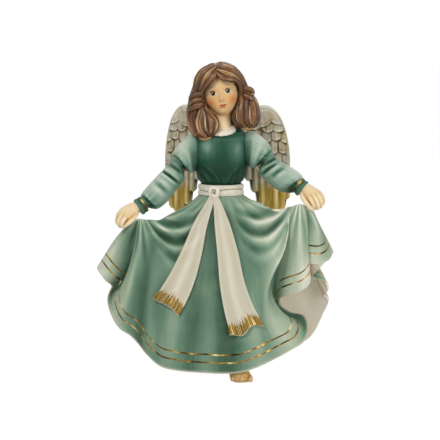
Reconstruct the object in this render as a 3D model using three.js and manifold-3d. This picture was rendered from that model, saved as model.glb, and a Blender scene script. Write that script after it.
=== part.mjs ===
// Angel figurine: a slip-cast, hand-painted ceramic girl with wings, who holds her skirt out to both sides.
// Each mesh is one casting. Castings meet at narrow slip seams and at pegs that sit in sockets.
// Millimetres, +Z up. The figure faces -Y. Left and right are the figure's own, so left is +X.
// Pieces are laid out about the waist's middle on the floor. The finished figure is centred on the origin.

import * as THREE from "three";
import { LoftGeometry } from "three/addons/geometries/LoftGeometry.js";
import { mergeVertices } from "three/addons/utils/BufferGeometryUtils.js";
import Module from "manifold-3d";

const wasm = await Module();
wasm.setup();

// Seams, walls and pegs
const SEAM = 0.3; // slip seam left between two castings
const SKIRT_WALL = 2.4;
const BODY_WALL = 3;
const HEAD_WALL = 4;
const PEG_RADIUS = 4; // pegs of arms and wings
const PEG_LENGTH = 6;

// Torso
const WAIST_Z = 162; // top edge of the skirt
// Points above the skirt are given as x, y and rise above the waist.
const fromWaist = ([x, y, rise, ...sizes]) => [x, y, WAIST_Z + rise, ...sizes];
const WAIST_HALF_WIDTH = 17.5;
const WAIST_HALF_DEPTH = 13;
const CHEST_HALF_WIDTH = 23.8;
const CHEST_HALF_DEPTH = 16;
const NECKLINE_HALF_WIDTH = 12.5;
const NECKLINE_HALF_DEPTH = 11.5;
const NECKLINE_SLOPE = 0.3; // rise of the neckline for each millimetre towards the back
const COLLAR_RISE = 4.5;
const NECK_RADIUS = 7.4;
const NECK_FOOT = fromWaist([1.2, -0.5, 49]);
const NECK_TOP = fromWaist([1.6, -3, 81]);
// rise above the waist, half width, half depth
const BODICE_SECTIONS = [
  [-12, 12, 9.5],
  [-8, WAIST_HALF_WIDTH - 1.5, WAIST_HALF_DEPTH - 1],
  [-3, WAIST_HALF_WIDTH, WAIST_HALF_DEPTH],
  [10, WAIST_HALF_WIDTH, WAIST_HALF_DEPTH],
  [14, CHEST_HALF_WIDTH - 3, CHEST_HALF_DEPTH - 1],
  [22, CHEST_HALF_WIDTH - 1, CHEST_HALF_DEPTH - 0.4],
  [32, CHEST_HALF_WIDTH, CHEST_HALF_DEPTH],
  [47, CHEST_HALF_WIDTH - 0.6, CHEST_HALF_DEPTH - 1],
  [54, CHEST_HALF_WIDTH - 1.4, CHEST_HALF_DEPTH - 2.4],
  [57, CHEST_HALF_WIDTH - 4.4, CHEST_HALF_DEPTH - 3.6],
  [58, NECKLINE_HALF_WIDTH, NECKLINE_HALF_DEPTH],
];

// Sash round the waist, its knot and its two hanging tails
const SASH_HEIGHT = 9;
const SASH_THICKNESS = 2.8;
const KNOT_CENTRE_X = -6.3;
const KNOT_HALF_SIZE = [5.2, 3.4, 5.6];
const TAIL_THICKNESS = 2.2;
const TAIL_CLEARANCE = 0.7; // from the skirt's folds
// middle of the tail as seen from the front: x and drop below the waist, then its half width
const LEFT_TAIL = [
  [-3.6, 4, 3], [1, 23, 6.5], [6, 48, 9], [10, 73, 10.6], [16, 95, 12.6], [22.6, 112, 14.6],
];
const RIGHT_TAIL = [
  [-9.6, 4, 3], [-18, 23, 5.6], [-25.5, 46, 8.4], [-33.5, 67, 10.6], [-41, 82, 12], [-48, 93, 12.8],
];

// Skirt: the waist ring, the hem line and the two points where the hands gather the cloth
const SKIRT_WIDTH = 213; // of the hem, from side to side
const SKIRT_HIP_FULLNESS = 0.1;
const SKIRT_HELD_AT = 0.52; // share of the skirt's length from waist to hands
// each gather: its two ends, its place round the hem in turns, and its reach and its fan's to both sides
const LEFT_GATHER = {
  from: fromWaist([70, -24, 3]),
  to: fromWaist([87, -20, -10]),
  turn: 0.23,
  before: 0.12,
  after: 0.12,
  fan: [0.03, 0.08],
};
const RIGHT_GATHER = {
  from: fromWaist([-92, -20, -27]),
  to: fromWaist([-71, -25, -12]),
  turn: 0.79,
  before: 0.12,
  after: 0.13,
  fan: [0.08, 0.11],
};
const GATHERS = [LEFT_GATHER, RIGHT_GATHER];
const GATHER_TIGHTNESS = 0.88;
const GATHER_SPAN = 0.07; // half of the turn over which the gather goes from one end to the other
const GATHER_SAG = 0.16; // drop of the top line between waist and hand, as a share of its length
// cloth that hangs off the straight line from hand to hem: turn, width in turns, share of the way down
// where it is furthest off, shift in x, y and z
const HANGS = [
  { turn: 0.105, width: 0.04, at: 0.55, shift: [-24, 0, 0] },
  { turn: 0.14, width: 0.026, at: 0.78, shift: [-11, -2, -9] },
  { turn: 0.826, width: 0.018, at: 0.68, shift: [11, 3, 0] },
  { turn: 0.86, width: 0.02, at: 0.7, shift: [4, -5, 0] },
];
const WAIST_PLEATS = 22;
const WAIST_PLEAT_DEPTH = 0.7;
const SWAG_DEPTH = 2.6; // folds that hang in a bow between a hand and the waist
const SWAG_PITCH = 15;
const SWAG_MIDDLE = 27; // drop of the bows below the straight line from hand to waist
const SWAG_SPREAD = 20;
const FAN_DEPTH = 1.7; // folds that fall from a hand to the hem
const FAN_PITCH = 0.04; // in turns
// long folds that fall from the waist: middle and spread in turns, shares of the skirt's length over which
// they start, depth
const LONG_FOLD = { turn: 0, spread: 0.1, from: 0.3, to: 0.8, depth: 1.5, shift: 0.01 }; // at the front
const LONG_FOLD_PITCH = 0.05;
const HEM_BELOW_FLOOR = 1.2; // the back of the hem is cast over length and ground flat
// x, y, z of the hem as drawn, from the middle of the front, round by the left hand and the back
const HEM = [
  [0, -66, 13], [16, -67, 14], [30, -64, 17.5], [45, -60, 23.5], [60, -56, 31], [73, -50, 38.5],
  [77, -41, 49], [74, -30, 57.5], [63, -21, 59], [54, -15, 64], [53, -17, 70], [60, -25, 75],
  [71, -30, 79.5], [79.5, -27, 86.5], [79, -19, 92], [72, -13, 96], [70, -14, 101.5], [77, -19, 102.5],
  [88, -18, 102], [97.5, -11, 105], [101.5, -1, 111], [97, 8, 104], [89, 12, 93], [84, 18, 84],
  [98, 25, 77.5], [100, 32, 71], [97, 36, 64.5], [101, 45, 58], [96, 54, 43], [86, 60, 22],
  [75, 66, 12], [46, 73, -HEM_BELOW_FLOOR], [15, 77, -HEM_BELOW_FLOOR], [-15, 77, -HEM_BELOW_FLOOR],
  [-44, 72, -HEM_BELOW_FLOOR], [-66, 62, 9], [-82, 50, 26], [-92, 36, 44], [-96, 24, 62],
  [-101, 12, 80], [-108, 2, 92], [-111.5, -8, 97], [-108, -15, 92], [-103, -17, 86], [-98, -13, 81],
  [-100, -14, 77], [-101.5, -21, 70], [-99, -28, 60], [-91, -33, 47], [-80, -36, 40], [-73, -38, 33],
  [-66, -46, 25.5], [-53, -53, 16.5], [-38, -59, 14], [-19, -64, 13.5],
];

// Legs and bare feet under the skirt
const LEG_TOP_DROP = 6; // below the waist, inside the hips, where the leg is trimmed to its seam
const LEG_RADIUS = 8.4;
const ANKLE_RADIUS = 5.4;
const FOOT_HALF_WIDTH = 10;
const FOOT_LENGTH = 46;
const FOOT_HEIGHT = 13;
const TOE_HEIGHT = 8;
const TOES = 5;
const SOLE_TRIM = 1; // soles are cast this much over depth and ground flat
const LEFT_FOOT = { hip: [9, 0], heel: [15, -8], toe: [18.5, -52] };
const RIGHT_FOOT = { hip: [-9, 1], heel: [-11, 46], toe: [-15, 2] };

// Arms: points that carry them, and the sleeves from armhole to elbow and from elbow to wrist.
// A sleeve's rows: x and rise above the waist of its upper edge and of its lower edge, y, half depth.
const CUFF_RADIUS = 7.4;
const CUFF_LENGTH = 6.4;
const WRIST_RADIUS = 5;
const WRIST_PEG_LENGTH = 12;
const HAND_LENGTH = 21;
const PALM_HALF_WIDTH = 7.4;
const PALM_HALF_DEPTH = 7.8;
const FINGER_RADIUS = 2.5;
const FINGER_SPREAD = 3.6; // from finger to finger
const LEFT_ARM = {
  shoulder: fromWaist([18.5, -2, 47.5]),
  elbow: fromWaist([40, -4.5, 29.6]),
  wrist: fromWaist([68, -18, 11.2]),
  knuckles: fromWaist([86.5, -25, -4.5]),
  upperSleeve: [
    [20, 52, 20, 31, -1.5, 3],
    [23.2, 57, 23.4, 27, -2, 7],
    [30.3, 56.2, 25.9, 24.6, -2.2, 11],
    [38.3, 50.7, 29.5, 24.4, -3, 11.8],
    [44.1, 43.3, 32.5, 26.3, -4, 10],
    [46, 38, 34.6, 28.7, -4.6, 7.6],
  ],
  lowerSleeve: [
    [44, 36.6, 36, 29.8, -4.6, 6],
    [52.6, 31, 33.8, 22.5, -6, 9.6],
    [58.8, 27.6, 37.4, 16, -8.4, 10.6],
    [65.8, 24, 44.5, 9.7, -11.4, 10.6],
    [71.4, 19.4, 52.4, 5.1, -14.4, 10.2],
    [73.2, 15.5, 58, 4.4, -16.6, 8.6],
    [73.4, 11.6, 65, 5, -18.6, 6],
  ],
};
const RIGHT_ARM = {
  shoulder: fromWaist([-18.5, -3, 46.5]),
  elbow: fromWaist([-37.2, -5.5, 25.6]),
  wrist: fromWaist([-68.2, -18, -5.8]),
  knuckles: fromWaist([-90, -25, -19.5]),
  upperSleeve: [
    [-20, 51, -20, 27, -2.5, 3],
    [-23.4, 56.4, -22.9, 22, -3, 7],
    [-32.1, 51.3, -25, 20.4, -3, 11],
    [-38.9, 44.2, -28.3, 20.5, -3.6, 11.8],
    [-42.8, 38, -31.3, 22.4, -4.6, 10],
    [-43, 34.1, -33.9, 24.6, -5.2, 7.6],
  ],
  lowerSleeve: [
    [-41, 33.4, -34.6, 25.6, -5.2, 6],
    [-46.9, 28.3, -32.8, 15.3, -6.6, 9.6],
    [-54.4, 20.5, -37.6, 8, -9, 10.6],
    [-60.5, 14.5, -42.8, 1.5, -11.4, 10.6],
    [-66.7, 7.7, -49, -5.8, -14, 10.4],
    [-70.5, 2.6, -56.4, -10.4, -16.6, 8.8],
    [-72.6, -3.4, -65.4, -10, -18.8, 6],
  ],
};

// Head and hair, in the head's own frame: x to the figure's left, y to the back, z up
const HEAD_CENTRE = fromWaist([-0.8, -4, 94.5]);
const HEAD_ROLL = THREE.MathUtils.degToRad(10.6); // the crown leans to the figure's right
const HEAD_HALF_WIDTH = 16.4;
const HEAD_HALF_HEIGHT = 21.6;
const FACE_DEPTH = 16.5;
const SKULL_DEPTH = 18;
const JAW_TAPER = 0.26;
const CHIN_DROP = 1.8;
const CHIN_FORWARD = 3;
const NOSE_HEIGHT = 3;
const NOSE_HALF_WIDTH = 3.2;
const NOSE_LENGTH = 5;
const NOSE_Z = -5.5;
const HAIR_HALF_SIZE = [21, 22, 19.4];
const HAIR_CENTRE = [0.5, 1.5, 5.6];
const HAIR_BOTTOM_Z = -4;
// hairline round the face, x and z
const HAIRLINE = [
  [-13.8, -40], [-14.2, -9], [-13.6, 0], [-11, 6], [-5.4, 10], [1.4, 13.6], [6, 10.6], [11, 9],
  [15.4, 6], [15.8, -3], [15.4, -10], [15, -40],
];
// middle of the lock x, y and rise above the waist, then half width and half depth
const LEFT_LOCK = [
  [17.4, -2, 100, 3, 5], [20.4, -2, 91, 6, 8], [23.4, -4, 81, 9.8, 9.6], [22.8, -6, 71.5, 12.4, 10.4],
  [23.6, -6, 65.5, 11.6, 9.4], [24.2, -6, 61.4, 6.5, 5],
].map(fromWaist);
const RIGHT_LOCK = [
  [-18, -3, 98, 4, 6], [-20.6, -4, 86.7, 7, 9], [-20.6, -7, 76, 9.8, 9.8], [-16.4, -10, 66.6, 13.6, 10],
  [-14.2, -10.5, 58.4, 12.4, 8.6], [-13.6, -10, 52.6, 6.2, 4.6],
].map(fromWaist);
const BACK_HAIR = [
  [-1, 8, 106, 12, 7], [0, 13, 92, 20.5, 9], [0, 15.5, 76, 22.5, 8.6], [0, 17, 60, 20.5, 7],
  [0, 18, 47, 11, 4],
].map(fromWaist);
const LOCK_STRANDS = 10;
const LOCK_STRAND_DEPTH = 0.05;
const CURL_RADIUS = 3.1;
// middle of the curl x, y and rise above the waist, then its share of the full curl radius
const LEFT_CURL = [
  [21, -7, 97, 0.7], [25.2, -8, 95, 1], [24.6, -9, 90, 1], [20.4, -9, 88, 0.8],
].map(fromWaist);
const RIGHT_CURL = [
  [-20.6, -8, 94, 0.7], [-25, -9, 90, 1], [-24.6, -10.5, 84.6, 1], [-20.4, -12, 82, 0.8],
].map(fromWaist);

// Wings: each one lies in an upright plane through its root and sweeps back
const WING_ROOT = fromWaist([7, 19, 34]);
const WING_PEG_AT = [5, 8]; // distance from the root, height above it
const WING_SWEEP = THREE.MathUtils.degToRad(35);
const WING_TURN = THREE.MathUtils.degToRad(10); // both wings turn with the back
const FEATHER_THICKNESS = 2.4;
const COVERT_STEP = 1.3; // each row of coverts stands this much prouder than the one below
// leading edge from the root over the top to the outer side: distance from the root, height above it
const WING_EDGE = [
  [0, -8], [1, 6], [8, 22], [19, 36.5], [31, 43.5], [42, 42.5], [52, 32.5], [59, 14], [62, -8], [61.5, -32],
];
// each long feather: distance from the root, height of its tip, half width
const LONG_FEATHERS = [
  [7, -11, 4.2], [13.5, -17, 4.2], [20, -25, 4.2], [26.5, -36, 4.2], [33, -49, 4.4], [40, -56, 4.4],
  [47, -58, 4.4], [53.5, -54, 4.2], [58.6, -44, 3.4],
];
// each row of short feathers: height of its lower edge at the root and at the outer side, number of feathers
const COVERT_ROWS = [
  { inner: 0, outer: -26, feathers: 8 },
  { inner: 8, outer: -8, feathers: 7 },
  { inner: 16, outer: 8, feathers: 6 },
  { inner: 25, outer: 21, feathers: 5 },
];

// Colours of the fired paint
const PAINT = {
  sage: paint(0x8cab9a, 0.55),
  forest: paint(0x2d5a4a, 0.5),
  cream: paint(0xd8cec0, 0.6),
  skin: paint(0xdcba8c, 0.6),
  chestnut: paint(0x5f3d2c, 0.4),
  feather: paint(0xb0a594, 0.6),
};

function paint(color, roughness) {
  return new THREE.MeshStandardMaterial({ color, roughness, metalness: 0 });
}

const point = (xyz) => new THREE.Vector3(...xyz);
const UP = new THREE.Vector3(0, 0, 1);
const BACK = new THREE.Vector3(0, 1, 0);

// Solids

function welded(geometry) {
  const bare = new THREE.BufferGeometry().copy(geometry);
  bare.deleteAttribute("normal");
  bare.deleteAttribute("uv");
  return mergeVertices(bare, 1e-4);
}

function solidOf(geometry) {
  const { index, attributes } = welded(geometry);
  const corners = index.array;
  const triVerts = [];
  for (let i = 0; i < corners.length; i += 3) {
    const [a, b, c] = [corners[i], corners[i + 1], corners[i + 2]];
    if (a !== b && b !== c && c !== a) triVerts.push(a, b, c);
  }
  const vertProperties = attributes.position.array;
  const filled = (faces) =>
    new wasm.Manifold(new wasm.Mesh({ numProp: 3, vertProperties, triVerts: new Uint32Array(faces) }));
  const solid = filled(triVerts);
  return solid.volume() > 0 ? solid : filled(triVerts.reverse());
}

function geometryOf(solid) {
  const { vertProperties, triVerts, numProp } = solid.getMesh();
  const positions = new Float32Array((vertProperties.length / numProp) * 3);
  for (let i = 0; i * numProp < vertProperties.length; i += 1) {
    for (let axis = 0; axis < 3; axis += 1) {
      positions[3 * i + axis] = vertProperties[numProp * i + axis];
    }
  }
  const geometry = new THREE.BufferGeometry();
  geometry.setAttribute("position", new THREE.BufferAttribute(positions, 3));
  geometry.setIndex(new THREE.BufferAttribute(new Uint32Array(triVerts), 1));
  return geometry;
}

const largest = (solid) => solid.decompose().sort((a, b) => b.volume() - a.volume())[0];

const join = (...geometries) => geometryOf(geometries.map(solidOf).reduce((all, one) => all.add(one)));

const remove = (geometry, ...tools) =>
  geometryOf(largest(tools.map(solidOf).reduce((rest, tool) => rest.subtract(tool), solidOf(geometry))));

// The same shape with every face moved out by a distance, for cutting a seam.
function grown(geometry, distance) {
  const shape = geometryOf(solidOf(geometry));
  const { position } = shape.attributes;
  const corners = shape.index.array;
  const at = (i) => new THREE.Vector3().fromBufferAttribute(position, i);
  const faces = [];
  for (let i = 0; i < corners.length; i += 3) {
    const [a, b, c] = [corners[i], corners[i + 1], corners[i + 2]];
    const normal = at(b).sub(at(a)).cross(at(c).sub(at(a)));
    if (normal.length() > 1e-3) faces.push({ ends: [a, b, c], normal: normal.normalize() });
  }
  const shifts = Array.from({ length: position.count }, () => new THREE.Vector3());
  for (let pass = 0; pass < 12; pass += 1) {
    for (const { ends, normal } of faces) {
      for (const end of ends) {
        const short = distance - shifts[end].dot(normal);
        if (short > 0) shifts[end].addScaledVector(normal, short);
      }
    }
  }
  shifts.forEach((shift, i) => {
    const moved = at(i).add(shift.clampLength(0, 3 * distance));
    position.setXYZ(i, ...moved.toArray());
  });
  return shape;
}

// A piece trimmed back to a seam's width from its neighbours.
const seated = (geometry, ...neighbours) => remove(geometry, ...neighbours.map((one) => grown(one, SEAM)));

// Lofts

function ellipse(centre, across, along, sides, ripple = () => 1) {
  return Array.from({ length: sides }, (_, i) => {
    const angle = (i / sides) * 2 * Math.PI;
    const swell = ripple(angle);
    return centre
      .clone()
      .addScaledVector(across, Math.cos(angle) * swell)
      .addScaledVector(along, Math.sin(angle) * swell);
  });
}

const capped = (sections) => new LoftGeometry(sections, { capStart: true, capEnd: true });

const shell = (outside, inside) => new LoftGeometry([...outside, ...inside.toReversed(), outside[0]]);

// A limb: an oval section that follows a curve. Each station is x, y, z, half width, half depth.
function limb(stations, steps, sides, { facing = BACK, ripple } = {}) {
  const spine = new THREE.CatmullRomCurve3(stations.map(([x, y, z]) => new THREE.Vector3(x, y, z)));
  const girth = new THREE.CatmullRomCurve3(
    stations.map(([, , , wide, deep]) => new THREE.Vector3(wide, deep, 0)),
  );
  const sections = Array.from({ length: steps + 1 }, (_, i) => {
    const share = i / steps;
    const tangent = spine.getTangent(share);
    const size = girth.getPoint(share);
    const across = new THREE.Vector3().crossVectors(tangent, facing).normalize();
    const along = new THREE.Vector3().crossVectors(tangent, across).normalize();
    across.multiplyScalar(size.x);
    along.multiplyScalar(size.y);
    return ellipse(spine.getPoint(share), across, along, sides, ripple);
  });
  return capped(sections);
}

function rod(from, to, radius, sides = 12) {
  const axis = to.clone().sub(from);
  const geometry = new THREE.CylinderGeometry(radius, radius, axis.length(), sides);
  geometry.applyQuaternion(new THREE.Quaternion().setFromUnitVectors(BACK, axis.clone().normalize()));
  return geometry.translate(...from.clone().add(to).multiplyScalar(0.5).toArray());
}

// A round tool whose flats clear the radius.
const bore = (from, to, radius, sides = 12) => rod(from, to, radius / Math.cos(Math.PI / sides), sides);

const figure = new THREE.Group();
figure.name = "angel_figurine";

function place(name, geometry, material) {
  const mesh = new THREE.Mesh(geometryOf(solidOf(geometry)), material);
  mesh.name = name;
  figure.add(mesh);
}

// Torso

function bodiceSections(inset) {
  return BODICE_SECTIONS.map(([rise, halfWidth, halfDepth], i) => {
    const last = i === BODICE_SECTIONS.length - 1;
    const ring = ellipse(
      new THREE.Vector3(0, 0, WAIST_Z + rise),
      new THREE.Vector3(halfWidth - inset, 0, 0),
      new THREE.Vector3(0, halfDepth - inset, 0),
      18,
    );
    if (last) ring.forEach((p) => p.setZ(p.z + p.y * NECKLINE_SLOPE));
    return ring;
  });
}

const neckAt = (share) => point(NECK_FOOT).lerp(point(NECK_TOP), share).toArray();
const neck = limb(
  [
    [...neckAt(0), NECK_RADIUS, NECK_RADIUS], [...neckAt(0.35), NECK_RADIUS, NECK_RADIUS],
    [...neckAt(0.7), NECK_RADIUS * 0.97, NECK_RADIUS], [...neckAt(1), NECK_RADIUS, NECK_RADIUS],
  ],
  4,
  16,
);

const bodiceOutside = capped(bodiceSections(0));
const bodiceInside = capped([
  ...bodiceSections(BODY_WALL).slice(1),
  bodiceSections(BODY_WALL).at(-1).map((p) => p.clone().addScaledVector(UP, BODY_WALL)),
]);
const armPegs = [LEFT_ARM, RIGHT_ARM].map(({ shoulder, elbow }) => {
  const outward = point(elbow).sub(point(shoulder)).normalize();
  return [-PEG_LENGTH / 2, PEG_LENGTH * 2].map((reach) => point(shoulder).addScaledVector(outward, reach));
});
const wingPegs = [1, -1].map((side) => {
  const root = wingPlane(side)(...WING_PEG_AT, 0);
  return [root.clone().addScaledVector(BACK, -2 * PEG_LENGTH), root];
});
function pegSocket([from, to]) {
  const inward = from.clone().sub(to).normalize();
  return bore(from.clone().addScaledVector(inward, SEAM), to, PEG_RADIUS + SEAM);
}

const bodice = remove(
  bodiceOutside,
  bodiceInside,
  grown(neck, SEAM),
  ...[...armPegs, ...wingPegs].map(pegSocket),
);
place("bodice", bodice, PAINT.forest);
place("neck", neck, PAINT.skin);

function collarRing(rise, halfWidth, halfDepth) {
  const ring = ellipse(
    new THREE.Vector3(0, 0, WAIST_Z + BODICE_SECTIONS.at(-1)[0] + rise),
    new THREE.Vector3(halfWidth, 0, 0),
    new THREE.Vector3(0, halfDepth, 0),
    18,
  );
  return ring.map((p) => p.setZ(p.z + p.y * NECKLINE_SLOPE));
}

const collar = seated(
  capped([
    collarRing(-1, NECKLINE_HALF_WIDTH, NECKLINE_HALF_DEPTH),
    collarRing(1, NECKLINE_HALF_WIDTH, NECKLINE_HALF_DEPTH),
    collarRing(COLLAR_RISE, NECKLINE_HALF_WIDTH - COLLAR_RISE / 2, NECKLINE_HALF_DEPTH - COLLAR_RISE / 2),
  ]),
  bodiceOutside,
  neck,
);
place("collar", collar, PAINT.cream);

// Places a point of the hand: along it from the wrist, down from its back, and across.
function handFrame({ wrist, knuckles }) {
  const start = point(wrist);
  const along = point(knuckles).sub(start).normalize();
  const down = UP.clone().negate().addScaledVector(along, UP.dot(along)).normalize();
  const side = new THREE.Vector3().crossVectors(along, down);
  const at = (a, b, c) =>
    start.clone().addScaledVector(along, a).addScaledVector(down, b).addScaledVector(side, c).toArray();
  return { at, side };
}

// The room that the cloth leaves for a closed hand.
function gripPocket(points) {
  const { at } = handFrame(points);
  const half = PALM_HALF_DEPTH + FINGER_RADIUS + SEAM;
  const end = CUFF_LENGTH + HAND_LENGTH + SEAM;
  const drop = FINGER_RADIUS * 1.76;
  return limb(
    [
      [...at(CUFF_LENGTH * 0.7, FINGER_RADIUS * 0.4, 0), WRIST_RADIUS * 1.4, WRIST_RADIUS * 1.4],
      [...at(CUFF_LENGTH + HAND_LENGTH * 0.29, FINGER_RADIUS * 1.2, 0), PALM_HALF_WIDTH * 1.35, half],
      [...at(end - HAND_LENGTH / 3, drop, 0), PALM_HALF_WIDTH * 1.5, half],
      [...at(end, drop, 0), PALM_HALF_WIDTH * 1.1, half * 0.8],
    ],
    5,
    12,
  );
}

// Skirt

const hemSides = HEM.map(([x]) => x);
const hemSpread = SKIRT_WIDTH / (Math.max(...hemSides) - Math.min(...hemSides));
const hemPoints = HEM.map(([x, y, z]) => new THREE.Vector3(x * hemSpread, y, z));
const hemLine = new THREE.CatmullRomCurve3(hemPoints, true);
hemLine.arcLengthDivisions = 1000;
const waistOut = SEAM + SKIRT_WALL;

function waistPoint(turn) {
  const angle = turn * 2 * Math.PI;
  return new THREE.Vector3(
    Math.sin(angle) * (WAIST_HALF_WIDTH + waistOut),
    -Math.cos(angle) * (WAIST_HALF_DEPTH + waistOut),
    WAIST_Z,
  );
}

// Signed distance round the skirt from a gather, in shares of a full turn.
const roundFrom = (turn, gather) => ((turn - gather.turn + 1.5) % 1) - 0.5;

const bell = (x) => Math.exp(-x * x);

function gatherPull(turn, gather) {
  const offset = roundFrom(turn, gather);
  const share = Math.abs(offset) / (offset < 0 ? gather.before : gather.after);
  return GATHER_TIGHTNESS * Math.exp(-(share ** 3));
}

function gatherPoint(turn, { from, to, ...gather }) {
  const share = THREE.MathUtils.smoothstep(roundFrom(turn, gather), -GATHER_SPAN, GATHER_SPAN);
  return point(from).lerp(point(to), share);
}

// The cloth's line from waist to hem where a hand holds it: a bow from waist to hand, then down to the hem.
function heldLine(turn, share, waist, hem, gather) {
  const hand = gatherPoint(turn, gather);
  if (share >= SKIRT_HELD_AT) return hand.lerp(hem, (share - SKIRT_HELD_AT) / (1 - SKIRT_HELD_AT));
  const low = waist.clone().lerp(hand, 0.5);
  low.z -= 2 * GATHER_SAG * waist.distanceTo(hand);
  return new THREE.QuadraticBezierCurve3(waist, low, hand).getPoint(share / SKIRT_HELD_AT);
}

function drapedPoint(turn, share) {
  const waist = waistPoint(turn);
  const hem = hemLine.getPointAt(turn);
  const spread = share + SKIRT_HIP_FULLNESS * Math.sin(Math.PI * share);
  const drape = new THREE.Vector3().lerpVectors(waist, hem, spread);
  drape.z = THREE.MathUtils.lerp(waist.z, hem.z, share);
  for (const gather of GATHERS) {
    drape.lerp(heldLine(turn, share, waist, hem, gather), gatherPull(turn, gather));
  }
  const low = THREE.MathUtils.clamp((share - SKIRT_HELD_AT) / (1 - SKIRT_HELD_AT), 0, 1);
  for (const { turn: middle, width, at, shift } of HANGS) {
    const most = Math.max(at, 1 - at);
    const rise = (low / at) ** ((1.2 * at) / most);
    const ebb = ((1 - low) / (1 - at)) ** ((1.2 * (1 - at)) / most);
    drape.addScaledVector(point(shift), rise * ebb * bell((turn - middle) / width));
  }
  return drape;
}

// Bow-shaped folds at the front: each one hangs between a hand and the middle of the waist.
function swagDepth(at, share) {
  const hand = at.x > 0 ? point(LEFT_GATHER.from) : point(RIGHT_GATHER.to);
  const along = THREE.MathUtils.clamp(at.x / hand.x, 0.06, 0.97);
  const chord = THREE.MathUtils.lerp(WAIST_Z, hand.z, along);
  const sag = (chord - at.z) / (4 * along * (1 - along));
  const ends = THREE.MathUtils.smoothstep(along, 0.14, 0.45) - THREE.MathUtils.smoothstep(along, 0.7, 0.9);
  const front = THREE.MathUtils.smoothstep(-at.y, -4, 8);
  const above = 1 - THREE.MathUtils.smoothstep(share, 0.44, 0.58);
  const fade = ends * front * above * bell((sag - SWAG_MIDDLE) / SWAG_SPREAD);
  return SWAG_DEPTH * fade * Math.sin((2 * Math.PI * (sag - 0.35 * SWAG_PITCH)) / SWAG_PITCH);
}

function fanDepth(turn, share, gather) {
  const offset = roundFrom(turn, gather);
  const reach = offset < 0 ? gather.fan[0] : gather.fan[1];
  const start = THREE.MathUtils.smoothstep(share, SKIRT_HELD_AT, SKIRT_HELD_AT + 0.18);
  const end = 1 - 0.75 * THREE.MathUtils.smoothstep(share, 0.72, 1);
  return FAN_DEPTH * bell(offset / reach) * start * end * Math.cos((2 * Math.PI * offset) / FAN_PITCH);
}

function longDepth(turn, share, { spread, from, to, depth, shift, ...fold }) {
  const offset = roundFrom(turn, fold);
  const fade = bell(offset / spread) * THREE.MathUtils.smoothstep(share, from, to);
  return depth * fade * Math.cos((2 * Math.PI * (offset + shift)) / LONG_FOLD_PITCH);
}

// Depth of the folds: pleats under the sash, bows in front, a fan below each hand, long folds.
function foldDepth(turn, share, at) {
  const start = THREE.MathUtils.smoothstep(share, 0, 0.1);
  const pleats = WAIST_PLEAT_DEPTH * Math.cos(WAIST_PLEATS * 2 * Math.PI * turn) * bell(share / 0.3);
  const fans = GATHERS.map((gather) => fanDepth(turn, share, gather));
  const all = [pleats, swagDepth(at, share), longDepth(turn, share, LONG_FOLD), ...fans];
  return start * all.reduce((sum, depth) => sum + depth);
}

function skirtGrid(around, down) {
  const draped = Array.from({ length: down + 1 }, (_, j) =>
    Array.from({ length: around }, (_, i) => drapedPoint(i / around, j / down)),
  );
  const folded = draped.map((ring, j) => {
    const normals = gridNormals(draped, j);
    return ring.map((p, i) => p.clone().addScaledVector(normals[i], foldDepth(i / around, j / down, p)));
  });
  return folded;
}

function gridNormals(rows, j) {
  const above = rows[Math.max(0, j - 1)];
  const below = rows[Math.min(rows.length - 1, j + 1)];
  const count = rows[j].length;
  return rows[j].map((_, i) => {
    const round = rows[j][(i + 1) % count].clone().sub(rows[j][(i + count - 1) % count]);
    const fall = below[i].clone().sub(above[i]);
    return fall.cross(round).normalize();
  });
}

const SKIRT_AROUND = 112;
const SKIRT_DOWN = 12;
const skirtOutside = skirtGrid(SKIRT_AROUND, SKIRT_DOWN);
const skirtInside = skirtOutside.map((ring, j) => {
  const normals = gridNormals(skirtOutside, j);
  return ring.map((p, i) => p.clone().addScaledVector(normals[i], -SKIRT_WALL));
});
const belowFloor = new THREE.BoxGeometry(3 * SKIRT_WIDTH, 3 * SKIRT_WIDTH, SKIRT_WIDTH)
  .translate(0, 0, -SKIRT_WIDTH / 2);
const skirt = seated(
  remove(shell(skirtOutside, skirtInside), belowFloor, gripPocket(LEFT_ARM), gripPocket(RIGHT_ARM)),
  bodice,
);
place("skirt", skirt, PAINT.sage);

// Sash

const sashProfile = [
  [0, -0.05], [0.8, -0.05], [1, 0.2], [0.72, 0.48], [1, 0.76], [0.8, 1], [0, 1], [0, -0.05],
].map(([out, up]) => new THREE.Vector2(WAIST_HALF_WIDTH + SEAM + out * SASH_THICKNESS, up * SASH_HEIGHT));
const sash = seated(
  new THREE.LatheGeometry(sashProfile, 26)
    .rotateX(Math.PI / 2)
    .scale(1, (WAIST_HALF_DEPTH + SEAM) / (WAIST_HALF_WIDTH + SEAM), 1)
    .translate(0, 0, WAIST_Z + SASH_HEIGHT * 0.05 + SEAM),
  bodice,
  skirt,
);
place("waist_sash", sash, PAINT.cream);

const skirtMesh = new THREE.Mesh(skirt, PAINT.sage);
skirtMesh.updateMatrixWorld();
const sightline = new THREE.Raycaster();

// The front of the skirt, straight behind a place seen from the front.
function skirtFront(x, z) {
  sightline.set(new THREE.Vector3(x, -SKIRT_WIDTH, z), BACK);
  return sightline.intersectObject(skirtMesh)[0].point;
}

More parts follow.
